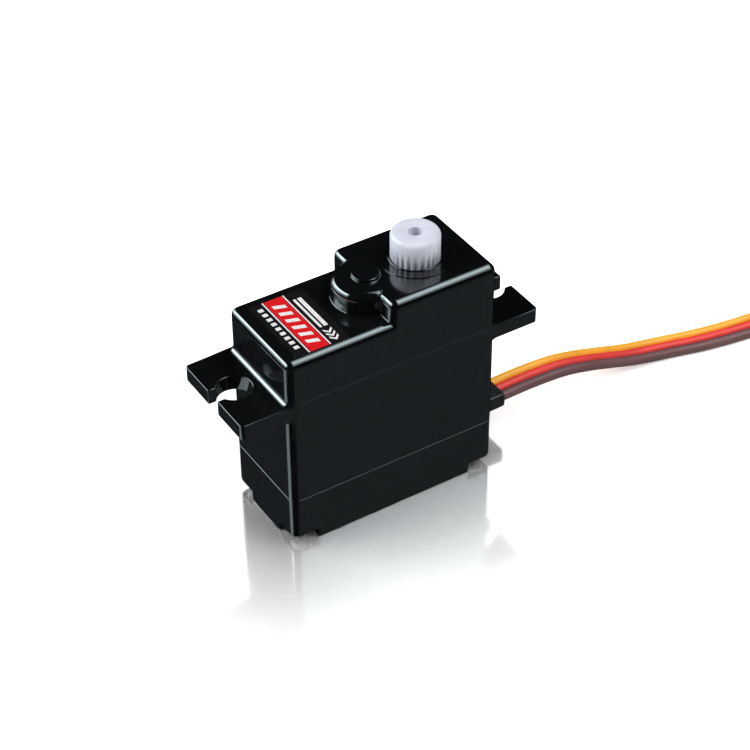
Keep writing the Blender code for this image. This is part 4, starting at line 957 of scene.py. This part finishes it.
def make_label(finishes):
    """The sticker: a black film with a red band and plain generic marks."""
    film_top = LABEL_HIGH.z - INK_HEIGHT
    centre = (LABEL_LOW + LABEL_HIGH) / 2
    half = (LABEL_HIGH - LABEL_LOW) / 2
    outline = rounded_outline(half.x, half.y, LABEL_ROUNDING, 5, (centre.x, centre.y))
    film = add_object(
        "label_film_sheet", prism_mesh(outline, LABEL_LOW.z, film_top), finishes["label_film"]
    )
    smooth_by_angle(film, 40)
    finish_piece(film, "case", "label_film", "label")

    low = film_top - INK_HEIGHT / 4
    high = LABEL_HIGH.z
    band_x = (BAND_LEFT + BAND_RIGHT) / 2
    end = half.y - LABEL_MARGIN
    band = slanted_bar(band_x, centre.y, BAND_RIGHT - BAND_LEFT, 2 * end, 0.0)
    band_top = high - INK_HEIGHT / 4
    print_ink("label_red_band", [band], low, band_top, ink("red_ink", RED_INK))

    marks = []
    for x in (BAND_LEFT - LINE_WIDTH, BAND_RIGHT + LINE_WIDTH):
        marks.append(slanted_bar(x, centre.y, LINE_WIDTH, 2 * end, 0.0))
    for row in range(SQUARE_ROWS):
        y = centre.y + end - FIRST_SQUARE_Y - row * SQUARE_PITCH
        marks.append(slanted_bar(BAND_LEFT - SQUARE_X, y, *SQUARE_SIZE, 0.0))
    for x, width in LONG_LINES:
        y = centre.y + LONG_LINE_Y
        marks.append(slanted_bar(BAND_RIGHT + x, y, width, LONG_LINE_LENGTH, 0.0))
    for row in range(CHEVRON_ROWS):
        y = centre.y - FIRST_CHEVRON_Y - row * CHEVRON_PITCH
        marks.append(chevron(BAND_RIGHT + CHEVRON_X, y, *CHEVRON_SIZE))
    print_ink("label_white_marks", marks, low, high, ink("white_ink", WHITE_INK))

    bars = []
    for row in range(BAR_ROWS):
        y = centre.y + FIRST_BAR_Y - row * BAR_PITCH
        bars.append(slanted_bar(band_x, y, *BAR_SIZE, BAR_SLANT))
    print_ink("label_band_bars", bars, band_top, high, ink("pale_ink", WHITE_INK))


# ---- output spline --------------------------------------------------------------------------
def tooth_outline(tip, root, centre):
    """Rounded teeth: the radius swells from root to tip and back once a tooth."""
    outline = []
    count = SPLINE_TEETH * POINTS_PER_TOOTH
    for i in range(count):
        angle = 2 * math.pi * i / count
        swell = 0.5 + 0.5 * math.cos(SPLINE_TEETH * angle)
        radius = root + (tip - root) * swell**0.8
        outline.append((centre[0] + radius * math.cos(angle), centre[1] + radius * math.sin(angle)))
    return outline


def make_output_gear(finishes):
    """The moulded spline on its hub, and inside the case the wheel that the CAD has."""
    centre = (AXES["output"][0], 0.0)
    top = GEAR_HIGH.z
    hub_top = HIGH_ROOF + COLLAR_HEIGHT - HUB_DEPTH
    hub_bottom = HIGH_ROOF - CASE_WALL

    wheel = bmesh.new()
    wheel.from_mesh(frame["nodes"]["output_gear"].data)
    bmesh.ops.remove_doubles(wheel, verts=wheel.verts, dist=0.002 * MM)
    everything = [*wheel.verts, *wheel.edges, *wheel.faces]
    result = bmesh.ops.bisect_plane(
        wheel, geom=everything, plane_co=(0, 0, hub_bottom), plane_no=(0, 0, 1), clear_outer=True
    )
    rim = [part for part in result["geom_cut"] if isinstance(part, bmesh.types.BMEdge)]
    bmesh.ops.holes_fill(wheel, edges=rim, sides=0)

    def round_ring(radius):
        return circle(radius, SPLINE_TEETH * POINTS_PER_TOOTH, centre)

    levels = [
        (round_ring(HUB_RADIUS), hub_bottom - OVERLAP),
        (round_ring(HUB_RADIUS), hub_top - 0.08 * MM),
        (round_ring(HUB_RADIUS - 0.06 * MM), hub_top),
    ]
    height = top - hub_top
    crown = SPLINE_CROWN
    for share, depth in ((0.0, 1.0), (0.3, 0.9), (0.42, 0.62), (0.52, 0.32), (0.62, 0.1), (0.72, 0.0)):
        root = SPLINE_RADIUS - (SPLINE_RADIUS - SPLINE_ROOT) * depth
        levels.append((tooth_outline(SPLINE_RADIUS, root, centre), hub_top + height * share))
    for degrees in (0, 18, 36, 54, 72, 90):
        inward = crown * (1 - math.cos(math.radians(degrees)))
        rise = crown * math.sin(math.radians(degrees))
        tip = SPLINE_RADIUS - inward
        levels.append((tooth_outline(tip, tip - 0.02 * MM, centre), top - crown + rise))
    hole = HORN_HOLE_RADIUS
    levels += [
        (round_ring(hole + 0.16 * MM), top),
        (round_ring(hole + 0.05 * MM), top - 0.05 * MM),
        (round_ring(hole), top - 0.18 * MM),
        (round_ring(hole), top - HORN_HOLE_DEPTH),
    ]
    gear = add_object(
        "output_spline_moulding",
        combined_mesh([wheel, lofted_mesh(levels)]),
        finishes["white_nylon"],
    )
    smooth_by_angle(gear, 40)
    finish_piece(gear, "output", "white_nylon", "output_gear")


def smooth_by_angle(obj, degrees):
    """Sharp where faces meet at more than the angle, smooth elsewhere."""
    bm = bmesh.new()
    bm.from_mesh(obj.data)
    for edge in bm.edges:
        edge.smooth = edge.calc_face_angle(0.0) < math.radians(degrees)
    bm.to_mesh(obj.data)
    bm.free()


# ---- lead -----------------------------------------------------------------------------------
def smooth_route(points, steps):
    """Points on a smooth curve through the route's own points, steps to each stretch."""
    ends = [points[0] * 2 - points[1], *points, points[-1] * 2 - points[-2]]
    curve = []
    for a, b, c, d in zip(ends, ends[1:], ends[2:], ends[3:]):
        for step in range(steps):
            t = step / steps
            curve.append(
                0.5
                * (
                    2 * b
                    + (c - a) * t
                    + (2 * a - 5 * b + 4 * c - d) * t**2
                    + (3 * b - a - 3 * c + d) * t**3
                )
            )
    curve.append(points[-1])
    return curve


def beside_route(centre, side):
    """The route of a wire beside the middle one: side is -1, 0 or 1."""
    remaining = [0.0]
    for a, b in zip(reversed(centre[:-1]), reversed(centre[1:])):
        remaining.append(remaining[-1] + (b - a).length)
    remaining.reverse()
    wire = []
    for i, point in enumerate(centre):
        ahead = centre[min(i + 1, len(centre) - 1)] - centre[max(i - 1, 0)]
        across = Vector((-ahead.y, ahead.x, 0.0)).normalized()
        to_plug = max(0.0, remaining[i] - PLUG_SOCKET_DEPTH)
        near_plug = max(0.0, 1.0 - to_plug / FAN_LENGTH)
        fan = near_plug * near_plug * (3 - 2 * near_plug)
        offset = WIRE_PITCH + (PLUG_PITCH - WIRE_PITCH) * fan
        wire.append(point + across * side * offset)
    return wire


def rod_mesh(radius, start, end):
    """A round rod along X between two points."""
    length = end[0] - start[0]
    bm = prism_mesh(circle(radius, 40), 0.0, length)
    bmesh.ops.rotate(bm, verts=bm.verts, matrix=Matrix.Rotation(math.pi / 2, 3, "Y"))
    return moved(bm, start)


def make_strain_relief(finishes):
    """The rubber block round the lead, with a flange inside the case and a socket for each wire."""
    half_y, half_z = RELIEF_WIDTH / 2, RELIEF_HEIGHT / 2
    end_x = RELIEF_HIGH.x
    outline = rounded_outline(half_y, half_z, RELIEF_EDGE, 4)
    round_edge = [
        (RELIEF_EDGE * (1 - math.sin(math.radians(a))), RELIEF_EDGE * (1 - math.cos(math.radians(a))))
        for a in (0, 30, 60, 90)
    ]
    levels = [(outline, RELIEF_NECK_X - 0.05 * MM)]
    for back, inward in round_edge:
        scale_y = RELIEF_TAPER * (1 - inward / half_y)
        scale_z = RELIEF_TAPER * (1 - inward / half_z)
        levels.append(([(y * scale_y, z * scale_z) for y, z in outline], end_x - back))
    bm = lofted_mesh(levels)
    # The loft's height becomes X, its first axis Y and its second axis Z.
    for vert in bm.verts:
        vert.co = (vert.co.z, vert.co.x, vert.co.y)
    relief = add_object("strain_relief_block", bm, finishes["black_rubber"])
    reach_y, reach_z = RELIEF_FLANGE
    flange = box_mesh(
        (RELIEF_LOW.x, -half_y - reach_y, -half_z - reach_z),
        (RELIEF_NECK_X, half_y + reach_y, half_z - 0.05 * MM),
    )
    unite(relief, flange)
    sockets = [
        rod_mesh(
            WIRE_DIAMETER / 2 + SOCKET_ROOM,
            (end_x - SOCKET_DEPTH, side * WIRE_PITCH, 0.0),
            (end_x + BEYOND, side * WIRE_PITCH, 0.0),
        )
        for side in (-1, 0, 1)
    ]
    for socket in sockets:
        cut(relief, socket)
    relief.location = (0.0, 0.0, RELIEF_Z)
    soften(relief, 0.05 * MM, segments=2)
    finish_piece(relief, "case", "black_rubber", "strain_relief")


def make_plug(finishes):
    """The three-way housing: rounded edges, wire sockets, contact cavities and latch windows."""
    centre_z = (PLUG_LOW.z + PLUG_HIGH.z) / 2
    housing = add_object("plug_shell", box_mesh(PLUG_LOW, PLUG_HIGH), finishes["plug_plastic"])
    tools = []
    for side in (-1, 0, 1):
        y = PLUG_Y + side * PLUG_PITCH
        tools.append(
            box_mesh(
                (
                    PLUG_HIGH.x - CAVITY_DEPTH,
                    y - CAVITY_HALF_SIZE,
                    centre_z - CAVITY_HALF_SIZE,
                ),
                (PLUG_HIGH.x + BEYOND, y + CAVITY_HALF_SIZE, centre_z + CAVITY_HALF_SIZE),
            )
        )
        tools.append(
            rod_mesh(
                WIRE_DIAMETER / 2 + SOCKET_ROOM,
                (PLUG_LOW.x - BEYOND, y, centre_z),
                (PLUG_LOW.x + PLUG_SOCKET_DEPTH, y, centre_z),
            )
        )
    cut(housing, combined_mesh(tools))
    window_end, window_start = (PLUG_HIGH.x - distance for distance in WINDOW_SPAN)
    windows = []
    for side in (-1, 0, 1):
        y = PLUG_Y + side * PLUG_PITCH
        windows.append(
            box_mesh(
                (window_start, y - WINDOW_HALF_WIDTH, centre_z),
                (window_end, y + WINDOW_HALF_WIDTH, PLUG_HIGH.z + BEYOND),
            )
        )
    cut(housing, combined_mesh(windows))
    soften(housing, PLUG_EDGE / 2)
    finish_piece(housing, "case", "plug_plastic", "plug_housing")
    return housing


def make_wire(node, side, finish, slot):
    """A wire's insulation, from its socket in the strain relief to its socket in the plug."""
    route_points = [Vector(p) for p in LEAD_ROUTE]
    into_relief = Vector((RELIEF_HIGH.x - SOCKET_DEPTH + SOCKET_ROOM, 0.0, RELIEF_Z))
    plug_z = (PLUG_LOW.z + PLUG_HIGH.z) / 2
    into_plug = Vector((PLUG_LOW.x + PLUG_SOCKET_DEPTH - SOCKET_ROOM, PLUG_Y, plug_z))
    centre = smooth_route([into_relief, *route_points, into_plug], 6)
    route = beside_route(centre, side)
    curve = bpy.data.curves.new(node + "_insulation", "CURVE")
    curve.dimensions = "3D"
    curve.bevel_depth = WIRE_DIAMETER / 2
    curve.bevel_resolution = 6
    curve.use_fill_caps = True
    spline = curve.splines.new("POLY")
    spline.points.add(len(route) - 1)
    for knot, point in zip(spline.points, route):
        knot.co = (*point, 1.0)
    curve.materials.append(finish)
    wire = bpy.data.objects.new(node + "_insulation", curve)
    bpy.context.scene.collection.objects.link(wire)
    wire.visible_glossy = False
    finish_piece(wire, "case", slot, node)
    length = sum((b - a).length for a, b in zip(route, route[1:]))
    return wire, route[0], length


def make_lead(finishes):
    slots = {
        "signal_wire": "orange_insulation",
        "power_wire": "red_insulation",
        "ground_wire": "brown_insulation",
    }
    on_cord = ["plug_contact_1", "plug_contact_2", "plug_contact_3"]
    pieces = [frame["nodes"][name] for name in on_cord]
    pieces += [bpy.data.objects["plug_shell"], bpy.data.objects["strain_relief_block"]]
    for node, side in WIRES.items():
        wire, start, length = make_wire(node, side, finishes[slots[node]], slots[node])
        print(f"{node}: {length * 1000:.1f} mm")


# ---- CAD nodes ------------------------------------------------------------------------------
def finish_nodes(finishes):
    """Gives every CAD node that still shows its finished material."""
    for node in frame["nodes"].values():
        for slot in node.material_slots:
            slot.material = finishes[slot.material.name.split(".")[0]]


def main():
    finishes = make_finishes()
    make_camera()
    make_lights(make_floor())
    make_strain_relief(finishes)
    make_plug(finishes)
    make_lead(finishes)
    make_top_case(finishes)
    make_middle_case(finishes)
    make_bottom_cover(finishes)
    make_label(finishes)
    make_output_gear(finishes)
    finish_nodes(finishes)


main()
